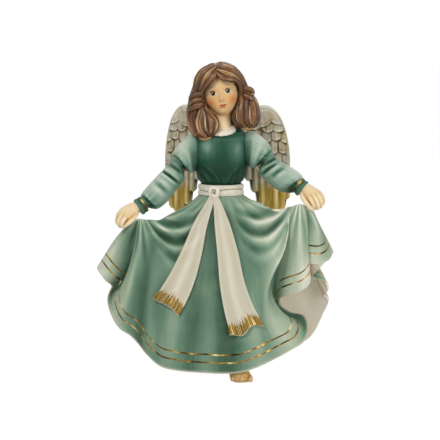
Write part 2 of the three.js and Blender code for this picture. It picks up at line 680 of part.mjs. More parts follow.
function sashTail(stations, steps) {
  const middle = new THREE.CatmullRomCurve3(
    stations.map(([x, drop]) => new THREE.Vector3(x, 0, WAIST_Z - drop)),
  );
  const widths = new THREE.CatmullRomCurve3(stations.map(([, , half]) => new THREE.Vector3(half, 0, 0)));
  const acrossSteps = [-1, -0.5, 0, 0.5, 1];
  const sections = Array.from({ length: steps + 1 }, (_, i) => {
    const share = i / steps;
    const centre = middle.getPoint(share);
    const tangent = middle.getTangent(share);
    const half = widths.getPoint(share).x;
    const under = acrossSteps.map((step) => {
      const at = centre.clone().add(new THREE.Vector3(-tangent.z, 0, tangent.x).multiplyScalar(step * half));
      const front = skirtFront(at.x, at.z);
      return front.addScaledVector(BACK, -TAIL_CLEARANCE);
    });
    const over = under.map((p) => p.clone().addScaledVector(BACK, -TAIL_THICKNESS));
    return [...under, ...over.toReversed()];
  });
  return seated(capped(sections), skirt, sash);
}

const leftTail = sashTail(LEFT_TAIL, 16);
const rightTail = seated(sashTail(RIGHT_TAIL, 16), leftTail);
place("left_sash_tail", leftTail, PAINT.cream);
place("right_sash_tail", rightTail, PAINT.cream);

const knot = seated(
  new THREE.SphereGeometry(1, 14, 8)
    .scale(...KNOT_HALF_SIZE)
    .translate(KNOT_CENTRE_X, -(WAIST_HALF_DEPTH + SASH_THICKNESS), WAIST_Z + SASH_HEIGHT / 2),
  sash,
  skirt,
  leftTail,
  rightTail,
  bodice,
);
place("sash_knot", knot, PAINT.cream);

// Legs

function leg({ hip, heel, toe }) {
  const legTop = WAIST_Z - LEG_TOP_DROP;
  const ankle = [heel[0], heel[1], FOOT_HEIGHT];
  const shin = limb(
    [
      [...hip, legTop, LEG_RADIUS, LEG_RADIUS],
      [(hip[0] + heel[0]) / 2, (hip[1] + heel[1]) / 2, (legTop + FOOT_HEIGHT) / 2, LEG_RADIUS, LEG_RADIUS],
      [...ankle, ANKLE_RADIUS, ANKLE_RADIUS],
      [heel[0], heel[1], FOOT_HEIGHT * 0.16, ANKLE_RADIUS, ANKLE_RADIUS],
    ],
    7,
    10,
  );
  const forward = new THREE.Vector3(toe[0] - heel[0], toe[1] - heel[1], 0).normalize();
  const across = new THREE.Vector3().crossVectors(forward, UP);
  const footAt = (share) =>
    new THREE.Vector3(heel[0], heel[1], 0).addScaledVector(forward, FOOT_LENGTH * (share - 0.11));
  const footStation = (share, half, height) => {
    const middle = footAt(share).setZ((height - SOLE_TRIM) / 2);
    return [...middle.toArray(), half, (height + SOLE_TRIM) / 2];
  };
  const foot = limb(
    [
      footStation(0, FOOT_HALF_WIDTH * 0.35, FOOT_HEIGHT * 0.5),
      footStation(0.08, FOOT_HALF_WIDTH * 0.6, FOOT_HEIGHT),
      footStation(0.35, FOOT_HALF_WIDTH * 0.65, FOOT_HEIGHT),
      footStation(0.7, FOOT_HALF_WIDTH, TOE_HEIGHT * 1.25),
      footStation(0.9, FOOT_HALF_WIDTH * 0.94, TOE_HEIGHT),
    ],
    8,
    12,
    { facing: UP },
  );
  const toeHalf = FOOT_HALF_WIDTH / TOES;
  const toes = Array.from({ length: TOES }, (_, i) => {
    const middle = footAt(0.93).addScaledVector(across, (2 * i + 1 - TOES) * toeHalf * 0.96);
    return new THREE.SphereGeometry(1, 6, 4)
      .scale(toeHalf * 1.14, FOOT_LENGTH * 0.104, TOE_HEIGHT * 0.48)
      .translate(middle.x, middle.y, TOE_HEIGHT * 0.4);
  });
  return seated(remove(join(shin, foot, ...toes), belowFloor), bodiceOutside, skirt);
}

place("left_leg", leg(LEFT_FOOT), PAINT.skin);
place("right_leg", leg(RIGHT_FOOT), PAINT.skin);

// Arms

// A sleeve: oval sections between its upper and its lower edge.
function sleeve(rows, steps) {
  const upper = new THREE.CatmullRomCurve3(rows.map(([x, rise, , , y]) => point(fromWaist([x, y, rise]))));
  const lower = new THREE.CatmullRomCurve3(rows.map(([, , x, rise, y]) => point(fromWaist([x, y, rise]))));
  const deep = new THREE.CatmullRomCurve3(rows.map((row) => new THREE.Vector3(row.at(-1), 0, 0)));
  const sections = Array.from({ length: steps + 1 }, (_, i) => {
    const [top, low] = [upper, lower].map((edge) => edge.getPoint(i / steps));
    const across = top.clone().sub(low).multiplyScalar(0.5);
    const onward = upper.getTangent(i / steps).add(lower.getTangent(i / steps));
    const along = onward.cross(across).setLength(deep.getPoint(i / steps).x);
    return ellipse(top.add(low).multiplyScalar(0.5), across, along, 14);
  });
  return capped(sections);
}

function handOf(points) {
  const { at, side } = handFrame(points);
  const reach = CUFF_LENGTH;
  const tip = reach + HAND_LENGTH - FINGER_RADIUS * 1.2;
  const palmStation = (share, down, wide, deep) => [
    ...at(reach + HAND_LENGTH * share, FINGER_RADIUS * down, 0),
    PALM_HALF_WIDTH * wide,
    PALM_HALF_DEPTH * deep,
  ];
  const palm = limb(
    [
      [...at(-WRIST_PEG_LENGTH / 2, 0, 0), WRIST_RADIUS, WRIST_RADIUS],
      [...at(reach * 1.16, 0, 0), WRIST_RADIUS, WRIST_RADIUS],
      palmStation(0.29, 0.2, 0.92, 0.92),
      palmStation(0.57, 0.6, 1, 1),
      palmStation(0.79, 1.2, 0.73, 0.9),
    ],
    8,
    12,
  );
  const fingerStation = (along, down, across, size) => [
    ...at(along, FINGER_RADIUS * down, across),
    FINGER_RADIUS * size,
    FINGER_RADIUS * size,
  ];
  const finger = (across, longer) =>
    limb(
      [
        fingerStation(reach + HAND_LENGTH * 0.52, -0.8, across, 1),
        fingerStation(tip + longer, 0.6, across, 1),
        fingerStation(tip - 0.2 * FINGER_RADIUS + longer, 2.8, across * 0.92, 1),
        fingerStation(tip - 2.4 * FINGER_RADIUS, 4.2, across * 0.85, 0.8),
      ],
      4,
      6,
      { facing: side },
    );
  const nearSide = side.dot(BACK) < 0 ? 1 : -1;
  const thumbStation = (share, down, across, size) => [
    ...at(reach + HAND_LENGTH * share, FINGER_RADIUS * down, nearSide * PALM_HALF_WIDTH * across),
    FINGER_RADIUS * size,
    FINGER_RADIUS * size,
  ];
  const thumb = limb(
    [
      thumbStation(0.19, 0.8, 0.73, 1.04),
      thumbStation(0.38, 2.4, 1, 1.08),
      thumbStation(0.6, 3.84, 0.86, 0.88),
    ],
    4,
    6,
    { facing: side },
  );
  const fold = new THREE.SphereGeometry(PALM_HALF_WIDTH * 0.865, 8, 6)
    .translate(...at(reach + HAND_LENGTH * 0.62, FINGER_RADIUS * 1.84, 0));
  const fingers = [-1.5, -0.5, 0.5, 1.5].map((place, i) =>
    finger(place * FINGER_SPREAD, i % 3 ? FINGER_RADIUS * 0.32 : 0),
  );
  return join(palm, fold, ...fingers, thumb);
}

function arm(sideName, points, pegEnds) {
  const { wrist, knuckles, upperSleeve, lowerSleeve } = points;
  const upperPuff = sleeve(upperSleeve, 10);
  const upper = join(seated(upperPuff, bodiceOutside), rod(pegEnds[0], pegEnds[1], PEG_RADIUS));
  const lowerPuff = sleeve(lowerSleeve, 12);
  const towardsHand = point(knuckles).sub(point(wrist)).normalize();
  const alongHand = (distance) => point(wrist).addScaledVector(towardsHand, distance);
  const pastWrist = rod(alongHand(0), alongHand(4 * CUFF_LENGTH), 3 * CUFF_RADIUS, 8);
  const socket = bore(
    alongHand(-WRIST_PEG_LENGTH / 2 - SEAM),
    alongHand(WRIST_PEG_LENGTH),
    WRIST_RADIUS + SEAM,
  );
  const lower = remove(seated(lowerPuff, upper, bodiceOutside), pastWrist, socket);
  const cuff = remove(
    rod(alongHand(SEAM), alongHand(CUFF_LENGTH), CUFF_RADIUS, 18),
    bore(alongHand(-CUFF_LENGTH), alongHand(2 * CUFF_LENGTH), WRIST_RADIUS + SEAM),
  );
  const hand = handOf(points);
  place(`${sideName}_upper_sleeve`, upper, PAINT.sage);
  place(`${sideName}_lower_sleeve`, lower, PAINT.sage);
  place(`${sideName}_cuff`, cuff, PAINT.forest);
  place(`${sideName}_hand`, hand, PAINT.skin);
  return { upper, lower };
}

const leftArm = arm("left", LEFT_ARM, armPegs[0]);
const rightArm = arm("right", RIGHT_ARM, armPegs[1]);

// Head and hair

const headFrame = new THREE.Matrix4()
  .makeTranslation(...HEAD_CENTRE)
  .multiply(new THREE.Matrix4().makeRotationY(-HEAD_ROLL));

function headForm(geometry) {
  const { position } = geometry.attributes;
  for (let i = 0; i < position.count; i += 1) {
    const [x, y, z] = [position.getX(i), position.getY(i), position.getZ(i)];
    const jaw = Math.max(0, -z) ** 2;
    const acrossNose = (x * HEAD_HALF_WIDTH) / NOSE_HALF_WIDTH;
    const alongNose = (z * HEAD_HALF_HEIGHT - NOSE_Z) / NOSE_LENGTH;
    const nose = y < 0 ? NOSE_HEIGHT * bell(acrossNose) * bell(alongNose) : 0;
    position.setXYZ(
      i,
      x * HEAD_HALF_WIDTH * (1 - JAW_TAPER * jaw),
      y * (y < 0 ? FACE_DEPTH : SKULL_DEPTH) - CHIN_FORWARD * jaw - nose,
      z * (z < 0 ? HEAD_HALF_HEIGHT + CHIN_DROP : HEAD_HALF_HEIGHT),
    );
  }
  return geometry;
}

const ball = (around, down) => new THREE.SphereGeometry(1, around, down).rotateX(Math.PI / 2);
const headShape = headForm(welded(ball(18, 13))).applyMatrix4(headFrame);
const headHollow = ball(10, 7)
  .scale(HEAD_HALF_WIDTH - HEAD_WALL, FACE_DEPTH - HEAD_WALL, HEAD_HALF_HEIGHT - HEAD_WALL)
  .applyMatrix4(headFrame);
const head = remove(headShape, grown(neck, SEAM), headHollow);
place("head", head, PAINT.skin);

const faceOpening = new THREE.ExtrudeGeometry(
  new THREE.Shape().setFromPoints(
    new THREE.SplineCurve(HAIRLINE.map(([x, z]) => new THREE.Vector2(x, z))).getPoints(30),
  ),
  { depth: 4 * HEAD_HALF_WIDTH, bevelEnabled: false },
)
  .rotateX(Math.PI / 2)
  .translate(0, HEAD_HALF_WIDTH / 8, 0)
  .applyMatrix4(headFrame);
const underHair = new THREE.BoxGeometry(...HAIR_HALF_SIZE.map((half) => 4 * half))
  .translate(0, 0, HAIR_BOTTOM_Z - 2 * HAIR_HALF_SIZE[2])
  .applyMatrix4(headFrame);
const crown = remove(
  ball(18, 12).scale(...HAIR_HALF_SIZE).translate(...HAIR_CENTRE).applyMatrix4(headFrame),
  grown(headShape, SEAM),
  faceOpening,
  underHair,
);
place("hair_crown", crown, PAINT.chestnut);

const strands = (angle) => 1 + LOCK_STRAND_DEPTH * Math.cos(LOCK_STRANDS * angle);
const curl = (path) =>
  limb(path.map(([x, y, z, size]) => [x, y, z, CURL_RADIUS * size, CURL_RADIUS * size]), 8, 9);
const lock = (stations, path) => join(limb(stations, 8, 20, { ripple: strands }), curl(path));
const body = [headShape, crown, neck, collar, bodiceOutside, leftArm.upper, rightArm.upper];
const leftLock = seated(lock(LEFT_LOCK, LEFT_CURL), ...body);
const rightLock = seated(lock(RIGHT_LOCK, RIGHT_CURL), ...body);
place("left_hair_lock", leftLock, PAINT.chestnut);
place("right_hair_lock", rightLock, PAINT.chestnut);

// Wings

// Places a point of the wing's own plane: out from the root, up, and out of the plane.
function wingPlane(side) {
  const angle = WING_SWEEP - side * WING_TURN;
  const outward = new THREE.Vector3(side * Math.cos(angle), Math.sin(angle), 0);
  const facing = new THREE.Vector3(side * Math.sin(angle), -Math.cos(angle), 0);
  const root = new THREE.Vector3(side * WING_ROOT[0], WING_ROOT[1], WING_ROOT[2]);
  return (out, up, proud) =>
    root.clone().addScaledVector(outward, out).addScaledVector(UP, up).addScaledVector(facing, proud);
}

const edgePoints = WING_EDGE.map((place) => new THREE.Vector2(...place));
const leadingEdge = new THREE.SplineCurve(edgePoints).getPoints(12);

function plate(outline, thickness) {
  const flat = { depth: thickness, bevelEnabled: false };
  return new THREE.ExtrudeGeometry(new THREE.Shape(outline), flat).translate(0, 0, -thickness / 2);
}

function longFeather([out, tip, half]) {
  const tipArc = Array.from({ length: 5 }, (_, i) => {
    const angle = Math.PI + (i / 4) * Math.PI;
    return new THREE.Vector2(out + half * Math.cos(angle), tip + half * 1.5 * (1 + Math.sin(angle)));
  });
  const root = Math.max(tip + 4 * half, -1.4 * half);
  const shaft = [-half, half].map((across) => new THREE.Vector2(out + across, root));
  return plate([shaft[0], ...tipArc, shaft[1]], FEATHER_THICKNESS);
}

function covertRow({ inner, outer, feathers }, row) {
  const heightAt = (out) => THREE.MathUtils.lerp(inner, outer, out / WING_EDGE.at(-1)[0]);
  const edge = leadingEdge.filter((p) => p.y > heightAt(p.x) + 1);
  const [first, last] = [edge[0], edge.at(-1)];
  const width = (last.x - first.x) / feathers;
  const scallops = Array.from({ length: feathers * 4 }, (_, i) => {
    const out = last.x - (i / 4) * width;
    const dip = Math.abs(Math.sin(((i % 4) / 4) * Math.PI));
    return new THREE.Vector2(out, heightAt(out) - dip * width * 0.55);
  });
  return plate([...edge, ...scallops.slice(1)], FEATHER_THICKNESS + COVERT_STEP * (row + 1));
}

function wing(side, [pegFrom, pegTo]) {
  const put = wingPlane(side);
  const flat = join(...LONG_FEATHERS.map(longFeather), ...COVERT_ROWS.map(covertRow));
  const { position } = flat.attributes;
  for (let i = 0; i < position.count; i += 1) {
    position.setXYZ(i, ...put(position.getX(i), position.getY(i), position.getZ(i)).toArray());
  }
  return join(seated(flat, bodiceOutside), rod(pegFrom, pegTo, PEG_RADIUS));
}

const leftWing = seated(wing(1, wingPegs[0]), leftArm.upper, leftArm.lower, skirt, leftLock);
const rightWing = seated(wing(-1, wingPegs[1]), rightArm.upper, rightArm.lower, skirt, rightLock);
place("left_wing", leftWing, PAINT.feather);
place("right_wing", rightWing, PAINT.feather);

const backHair = limb(BACK_HAIR, 6, 20, { ripple: strands });
const besideHair = [...body, leftLock, rightLock, leftWing, rightWing];
place("hair_back", seated(backHair, ...besideHair), PAINT.chestnut);

// The finished figure stands on the floor with the middle of its box over the origin.
const box = new THREE.Box3().setFromObject(figure);
const middle = box.getCenter(new THREE.Vector3());
figure.children.forEach(({ geometry }) => geometry.translate(-middle.x, -middle.y, -box.min.z));

export default figure;
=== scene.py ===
import math
from contextlib import contextmanager

import bpy
import numpy as np
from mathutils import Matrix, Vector


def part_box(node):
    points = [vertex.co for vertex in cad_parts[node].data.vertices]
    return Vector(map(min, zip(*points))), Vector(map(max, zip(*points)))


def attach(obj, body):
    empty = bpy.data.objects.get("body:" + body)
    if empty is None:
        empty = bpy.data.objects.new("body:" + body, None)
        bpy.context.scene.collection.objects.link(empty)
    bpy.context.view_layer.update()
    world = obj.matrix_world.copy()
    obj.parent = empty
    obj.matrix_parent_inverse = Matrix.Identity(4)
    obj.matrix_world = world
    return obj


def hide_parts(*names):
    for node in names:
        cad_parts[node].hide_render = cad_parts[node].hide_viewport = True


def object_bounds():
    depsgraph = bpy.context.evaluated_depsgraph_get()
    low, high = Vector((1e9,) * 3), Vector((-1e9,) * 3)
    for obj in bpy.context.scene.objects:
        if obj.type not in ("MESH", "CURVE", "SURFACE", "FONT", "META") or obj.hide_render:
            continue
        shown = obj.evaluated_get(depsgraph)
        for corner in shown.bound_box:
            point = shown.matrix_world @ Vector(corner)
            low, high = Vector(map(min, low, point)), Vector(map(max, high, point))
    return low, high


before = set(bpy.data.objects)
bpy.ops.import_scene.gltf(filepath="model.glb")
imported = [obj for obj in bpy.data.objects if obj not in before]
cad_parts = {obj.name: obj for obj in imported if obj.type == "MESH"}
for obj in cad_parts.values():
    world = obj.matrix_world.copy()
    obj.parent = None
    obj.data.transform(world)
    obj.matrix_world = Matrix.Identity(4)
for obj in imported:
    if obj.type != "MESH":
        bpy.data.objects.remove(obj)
cad_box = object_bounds()

# A slip-cast, hand-painted porcelain angel that holds out its skirt.
# Sizes are millimetres from the waist's middle on the floor: x to the figure's left, y to its back, z up.
MM = 0.001
TURN = 2 * math.pi
SEAM = 2e-6  # metres: points this near are one
NO_EDGE = 99.0  # millimetres to a hem or fringe, for places that are near none
waist_low, waist_high = (np.array(corner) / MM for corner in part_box("bodice"))
WAIST_MIDDLE = (waist_low + waist_high) / 2 * (1, 1, 0)

WAIST_Z = 162
WAIST_HALF = (17.5, 13.0)
SKIRT_WALL = 2.4
SKIRT_RING = (WAIST_HALF[0] + 2.7, WAIST_HALF[1] + 2.7)
HELD_AT = 0.52  # share of the skirt's length from waist to hands
GATHERS = [
    {"from": (70, -24, 165), "to": (87, -20, 152), "turn": 0.23, "before": 0.12, "after": 0.12,
     "fan": (0.03, 0.08)},
    {"from": (-92, -20, 135), "to": (-71, -25, 150), "turn": 0.79, "before": 0.12, "after": 0.13,
     "fan": (0.08, 0.11)},
]
HANGS = [  # turn, width in turns, share of the way from hand to hem, shift in x, y and z
    (0.105, 0.04, 0.55, (-24, 0, 0)), (0.14, 0.026, 0.78, (-11, -2, -9)),
    (0.826, 0.018, 0.68, (11, 3, 0)), (0.86, 0.02, 0.7, (4, -5, 0)),
]
HEM = [
    (0, -66, 13), (16, -67, 14), (30, -64, 17.5), (45, -60, 23.5), (60, -56, 31), (73, -50, 38.5),
    (77, -41, 49), (74, -30, 57.5), (63, -21, 59), (54, -15, 64), (53, -17, 70), (60, -25, 75),
    (71, -30, 79.5), (79.5, -27, 86.5), (79, -19, 92), (72, -13, 96), (70, -14, 101.5), (77, -19, 102.5),
    (88, -18, 102), (97.5, -11, 105), (101.5, -1, 111), (97, 8, 104), (89, 12, 93), (84, 18, 84),
    (98, 25, 77.5), (100, 32, 71), (97, 36, 64.5), (101, 45, 58), (96, 54, 43), (86, 60, 22),
    (75, 66, 12), (46, 73, -1.2), (15, 77, -1.2), (-15, 77, -1.2), (-44, 72, -1.2), (-66, 62, 9),
    (-82, 50, 26), (-92, 36, 44), (-96, 24, 62), (-101, 12, 80), (-108, 2, 92), (-111.5, -8, 97),
    (-108, -15, 92), (-103, -17, 86), (-98, -13, 81), (-100, -14, 77), (-101.5, -21, 70), (-99, -28, 60),
    (-91, -33, 47), (-80, -36, 40), (-73, -38, 33), (-66, -46, 25.5), (-53, -53, 16.5), (-38, -59, 14),
    (-19, -64, 13.5),
]
ARMS = {  # sleeve rows: x and rise above the waist of the upper edge and of the lower edge, y, half depth
    "left": {
        "wrist": (68, -18, 173.2), "knuckles": (86.5, -25, 157.5),
        "upper": [(20, 52, 20, 31, -1.5, 3), (23.2, 57, 23.4, 27, -2, 7), (30.3, 56.2, 25.9, 24.6, -2.2, 11),
                  (38.3, 50.7, 29.5, 24.4, -3, 11.8), (44.1, 43.3, 32.5, 26.3, -4, 10),
                  (46, 38, 34.6, 28.7, -4.6, 7.6)],
        "lower": [(44, 36.6, 36, 29.8, -4.6, 6), (52.6, 31, 33.8, 22.5, -6, 9.6),
                  (58.8, 27.6, 37.4, 16, -8.4, 10.6), (65.8, 24, 44.5, 9.7, -11.4, 10.6),
                  (71.4, 19.4, 52.4, 5.1, -14.4, 10.2), (73.2, 15.5, 58, 4.4, -16.6, 8.6),
                  (72, 12.4, 63.6, 5.6, -18.2, 6)],
    },
    "right": {
        "wrist": (-68.2, -18, 156.2), "knuckles": (-90, -25, 142.5),
        "upper": [(-20, 51, -20, 27, -2.5, 3), (-23.4, 56.4, -22.9, 22, -3, 7),
                  (-32.1, 51.3, -25, 20.4, -3, 11), (-38.9, 44.2, -28.3, 20.5, -3.6, 11.8),
                  (-42.8, 38, -31.3, 22.4, -4.6, 10), (-43, 34.1, -33.9, 24.6, -5.2, 7.6)],
        "lower": [(-41, 33.4, -34.6, 25.6, -5.2, 6), (-46.9, 28.3, -32.8, 15.3, -6.6, 9.6),
                  (-54.4, 20.5, -37.6, 8, -9, 10.6), (-60.5, 14.5, -42.8, 1.5, -11.4, 10.6),
                  (-66.7, 7.7, -49, -5.8, -14, 10.4), (-70.5, 2.6, -56.4, -10.4, -16.6, 8.8),
                  (-71.2, -2.4, -64, -9, -18.4, 6)],
    },
}
HEAD_CENTRE = (-0.8, -4, 256.5)
HEAD_ROLL = math.radians(10.6)


# Shaping

def spaced(count):
    """Even shares from 0 to 1."""
    return np.linspace(0, 1, count)


def once_round(count):
    """Even angles round a ring, the first and the last on its seam."""
    return np.linspace(0, TURN, count)


def unit(vectors):
    return vectors / np.maximum(np.linalg.norm(vectors, axis=-1, keepdims=True), 1e-9)


def bell(x):
    return np.exp(-np.square(x))


def ease(x, start, end):
    share = np.clip((x - start) / (end - start), 0, 1)
    return share * share * (3 - 2 * share)


def curve(points, shares, closed=False):
    """Places along a smooth line through the points, one for each share of its length in spans."""
    points = np.asarray(points, float)
    count = len(points)
    spans = count if closed else count - 1
    where = np.clip(np.asarray(shares, float), 0, 1) * spans
    first = np.minimum(where.astype(int), spans - 1)
    rest = (where - first)[:, None]
    padded = np.vstack([2 * points[0] - points[1], points, 2 * points[-1] - points[-2]])
    pick = (lambda i: points[i % count]) if closed else (lambda i: padded[i + 1])
    before, start, end, after = (pick(first + step) for step in (-1, 0, 1, 2))
    span = [np.maximum(np.square(b - a).sum(1)[:, None] ** 0.25, 1e-4)
            for a, b in ((before, start), (start, end), (end, after))]
    leave = (start - before) / span[0] - (end - before) / (span[0] + span[1]) + (end - start) / span[1]
    arrive = (end - start) / span[1] - (after - start) / (span[1] + span[2]) + (after - end) / span[2]
    square, cube = rest ** 2, rest ** 3
    return ((2 * cube - 3 * square + 1) * start + (3 * square - 2 * cube) * end
            + span[1] * ((cube - 2 * square + rest) * leave + (cube - square) * arrive))


def evenly(points, shares, closed=False):
    """As curve, with the shares measured along the line."""
    fine = spaced(1001)
    steps = np.linalg.norm(np.diff(curve(points, fine, closed), axis=0), axis=1)
    length = np.concatenate([[0], np.cumsum(steps)])
    return curve(points, np.interp(np.asarray(shares) * length[-1], length, fine), closed)


def outward(surface):
    """Outside direction at each point of rows that run down and columns that run round."""
    ring = surface[:, :-1]
    turn = np.roll(ring, -1, 1) - np.roll(ring, 1, 1)
    turn = np.concatenate([turn, turn[:, :1]], 1)
    return unit(np.cross(np.gradient(surface, axis=0), turn))


def ringed(angle, half_width, half_depth, z):
    """Places round the figure's upright axis: the angle starts in front and turns to its left."""
    return np.stack(np.broadcast_arrays(np.sin(angle) * half_width, -np.cos(angle) * half_depth, z), -1)


def height_above_end(surface):
    """How far each place is from the last row, along its column."""
    steps = np.linalg.norm(np.diff(surface, axis=0), axis=2)
    return np.concatenate([np.cumsum(steps[::-1], 0)[::-1], np.zeros((1, surface.shape[1]))])


def limb(stations, rows, columns, facing=(0, 1, 0), swell=None):
    """An oval section along a line. Each station is x, y, z, half width, half depth."""
    stations = np.asarray(stations, float)
    share = spaced(rows + 1)
    middle = curve(stations[:, :3], share)
    size = curve(stations[:, 3:5], share)
    tangent = unit(np.gradient(middle, axis=0))
    across = unit(np.cross(tangent, facing))
    along = np.cross(tangent, across)
    angle = once_round(columns + 1)
    grow = 1
    if swell is not None:
        waves = swell(angle[None], share[:, None])
        meets_start = ease(angle, 0.9 * TURN, TURN)
        waves = waves + (waves[:, :1] - waves[:, -1:]) * meets_start
        grow = 1 + waves[..., None]
    return middle[:, None] + grow * (
        across[:, None] * (np.cos(angle)[None] * size[:, :1])[..., None]
        + along[:, None] * (np.sin(angle)[None] * size[:, 1:])[..., None])


def domed(surface, rows=3, bulge=0.35):
    """The same tube with both ends rounded over to a closed point."""
    ends = []
    for ring, inner in ((surface[0], surface[1]), (surface[-1], surface[-2])):
        centre = ring.mean(0)
        out = unit(centre - inner.mean(0)) * np.linalg.norm(ring - centre, axis=1).mean() * bulge
        steps = np.linspace(0, math.pi / 2, rows + 1)[1:]
        ends.append(np.array([centre + (ring - centre) * max(math.cos(step), 0) + out * math.sin(step)
                              for step in steps]))
    return np.concatenate([ends[0][::-1], surface, ends[1]])


def over_ends(field, rows):
    """A painted field carried on over the rounded ends of a tube."""
    return np.pad(field, ((rows, rows), (0, 0)), mode="edge")


def pressed(surface, lines):
    """Soft creases in a tube's front, and how deep they lie: each one x, z points, a depth and a width."""
    normal = outward(surface)
    normal *= np.sign((normal * (surface - surface.mean(1, keepdims=True))).sum(-1).mean())
    front = ease(-normal[..., 1], -0.3, 0.4)
    depth = np.zeros(surface.shape[:2])
    for points, deep, width in lines:
        share = spaced(40)
        apart = np.linalg.norm(surface[:, :, None, (0, 2)] - curve(points, share), axis=-1)
        fade = np.sin(math.pi * np.clip(share[apart.argmin(-1)], 0.03, 0.97))
        apart = apart.min(-1)
        depth += deep * fade * (bell(apart / width) - 0.5 * bell((apart - 2.2 * width) / (1.2 * width)))
    return surface - normal * (depth * front)[..., None], depth * front


# Pieces

def piece_of(name, surface, fields=None):
    """A grid laid on a surface of rows and columns, with its painted fields."""
    rows, columns = surface.shape[0] - 1, surface.shape[1] - 1
    bpy.ops.mesh.primitive_grid_add(x_subdivisions=columns, y_subdivisions=rows, size=2)
    piece = bpy.context.object
    piece.name = piece.data.name = name
    flat = vertex_values(piece, "co")
    column = np.rint((flat[:, 0] + 1) / 2 * columns).astype(int)
    row = rows - np.rint((flat[:, 1] + 1) / 2 * rows).astype(int)
    put(piece, surface[row, column])
    for field, values in (fields or {}).items():
        paint_field(piece, field, values[row, column])
    return piece


def put(piece, places):
    piece.data.vertices.foreach_set("co", ((places + WAIST_MIDDLE) * MM).ravel())
    piece.data.update()


def vertex_values(piece, what):
    flat = np.empty(3 * len(piece.data.vertices))
    piece.data.vertices.foreach_get(what, flat)
    return flat.reshape(-1, 3)


def places_of(piece):
    return vertex_values(piece, "co") / MM - WAIST_MIDDLE


def paint_field(piece, field, values):
    layer = piece.data.attributes.get(field) or piece.data.attributes.new(field, "FLOAT", "POINT")
    layer.data.foreach_set("value", np.ascontiguousarray(values, dtype=np.float32))


def paint_all(piece, field, value):
    paint_field(piece, field, np.full(len(piece.data.vertices), value))


def only(piece):
    bpy.ops.object.select_all(action="DESELECT")
    piece.select_set(True)
    bpy.context.view_layer.objects.active = piece


@contextmanager
def editing(piece):
    """Edit mode, with all of a piece picked."""
    only(piece)
    bpy.ops.object.mode_set(mode="EDIT")
    bpy.ops.mesh.select_all(action="SELECT")
    yield
    bpy.ops.object.mode_set(mode="OBJECT")


def smoothed(piece):
    only(piece)
    bpy.ops.object.shade_smooth()
    return piece


def close_up(piece, recalculate=True):
    """Merges seams and poles, and turns the faces outwards unless they are right as they are."""
    with editing(piece):
        bpy.ops.mesh.remove_doubles(threshold=SEAM)
        if recalculate:
            bpy.ops.mesh.normals_make_consistent(inside=False)
    return smoothed(piece)


def filled_in(piece):
    """Closes a cap's open border towards its middle, inside the head, and turns the faces outwards."""
    with editing(piece):
        bpy.ops.mesh.select_mode(type="EDGE")
        bpy.ops.mesh.select_all(action="DESELECT")
        bpy.ops.mesh.select_non_manifold(extend=False, use_wire=False, use_multi_face=False,
                                         use_non_contiguous=False, use_verts=False)
        bpy.ops.mesh.extrude_edges_move()
        bpy.ops.mesh.merge(type="COLLAPSE")
        bpy.ops.mesh.select_all(action="SELECT")
        bpy.ops.mesh.normals_make_consistent(inside=False)
        bpy.ops.mesh.select_mode(type="VERT")
    return piece


def together(name, pieces):
    bpy.ops.object.select_all(action="DESELECT")
    for piece in pieces:
        piece.select_set(True)
    bpy.context.view_layer.objects.active = pieces[0]
    bpy.ops.object.join()
    whole = bpy.context.object
    whole.name = whole.data.name = name
    return whole


def modify(piece, kind, **settings):
    only(piece)
    modifier = piece.modifiers.new(kind.lower(), kind)
    for key, value in settings.items():
        setattr(modifier, key, value)
    bpy.ops.object.modifier_apply(modifier=modifier.name)


def round_edges(piece, width, segments):
    modify(piece, "BEVEL", width=width * MM, segments=segments, limit_method="ANGLE",
           angle_limit=math.radians(50))


def melted(name, pieces, voxel, smooth):
    """Overlapping forms run together into one skin."""
    whole = together(name, pieces)
    modify(whole, "REMESH", mode="VOXEL", voxel_size=voxel * MM)
    modify(whole, "SMOOTH", factor=0.5, iterations=smooth)
    return smoothed(whole)


MOST_PASSES = 160  # of softening, which keeps relief quick on fine meshes


def wash_and_shade(piece, reach, depth):
    """Paints how far each place stands proud of, or lies below, what is round it within reach. The finishes
    turn it into painted shade in the low places and painted light on the proud ones; on the greens it is
    partly the maker's wash as well.
    """
    mesh = piece.data
    places = places_of(piece)
    pairs = np.empty(2 * len(mesh.edges), dtype=np.int32)
    mesh.edges.foreach_get("vertices", pairs)
    pairs = pairs.reshape(-1, 2)
    ends, others = np.concatenate([pairs[:, 0], pairs[:, 1]]), np.concatenate([pairs[:, 1], pairs[:, 0]])
    degree = np.maximum(np.bincount(ends, minlength=len(places)), 1)[:, None]
    step = np.linalg.norm(places[pairs[:, 0]] - places[pairs[:, 1]], axis=1).mean()
    soft = places.copy()
    for _ in range(min(int(2 * (reach / step) ** 2) + 1, MOST_PASSES)):
        sums = [np.bincount(ends, weights=soft[others, axis], minlength=len(places)) for axis in range(3)]
        soft = 0.5 * soft + 0.5 * np.stack(sums, 1) / degree
    proud = ((places - soft) * vertex_values(piece, "normal")).sum(1)
    paint_field(piece, "wash_and_shade", np.clip(proud / depth, -1, 1))


def done(piece, slot, nodes, *finishes):
    for finish in finishes:
        piece.data.materials.append(finish)
    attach(piece, "root")
    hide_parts(*nodes)


def cast(name, surface, fields, reach, depth, slot, nodes, finish):
    """A closed surface with its painted fields and the field for its painted shade and light, made ready as a
    piece.
    """
    piece = close_up(piece_of(name, surface, fields))
    wash_and_shade(piece, reach, depth)
    done(piece, slot, nodes, finish)
    return piece


# Finishes

def linear(colour):
    """Linear colour of an sRGB hex value."""
    parts = [int(colour[i:i + 2], 16) / 255 for i in (1, 3, 5)]
    return tuple(p / 12.92 if p <= 0.04045 else ((p + 0.055) / 1.055) ** 2.4 for p in parts) + (1.0,)


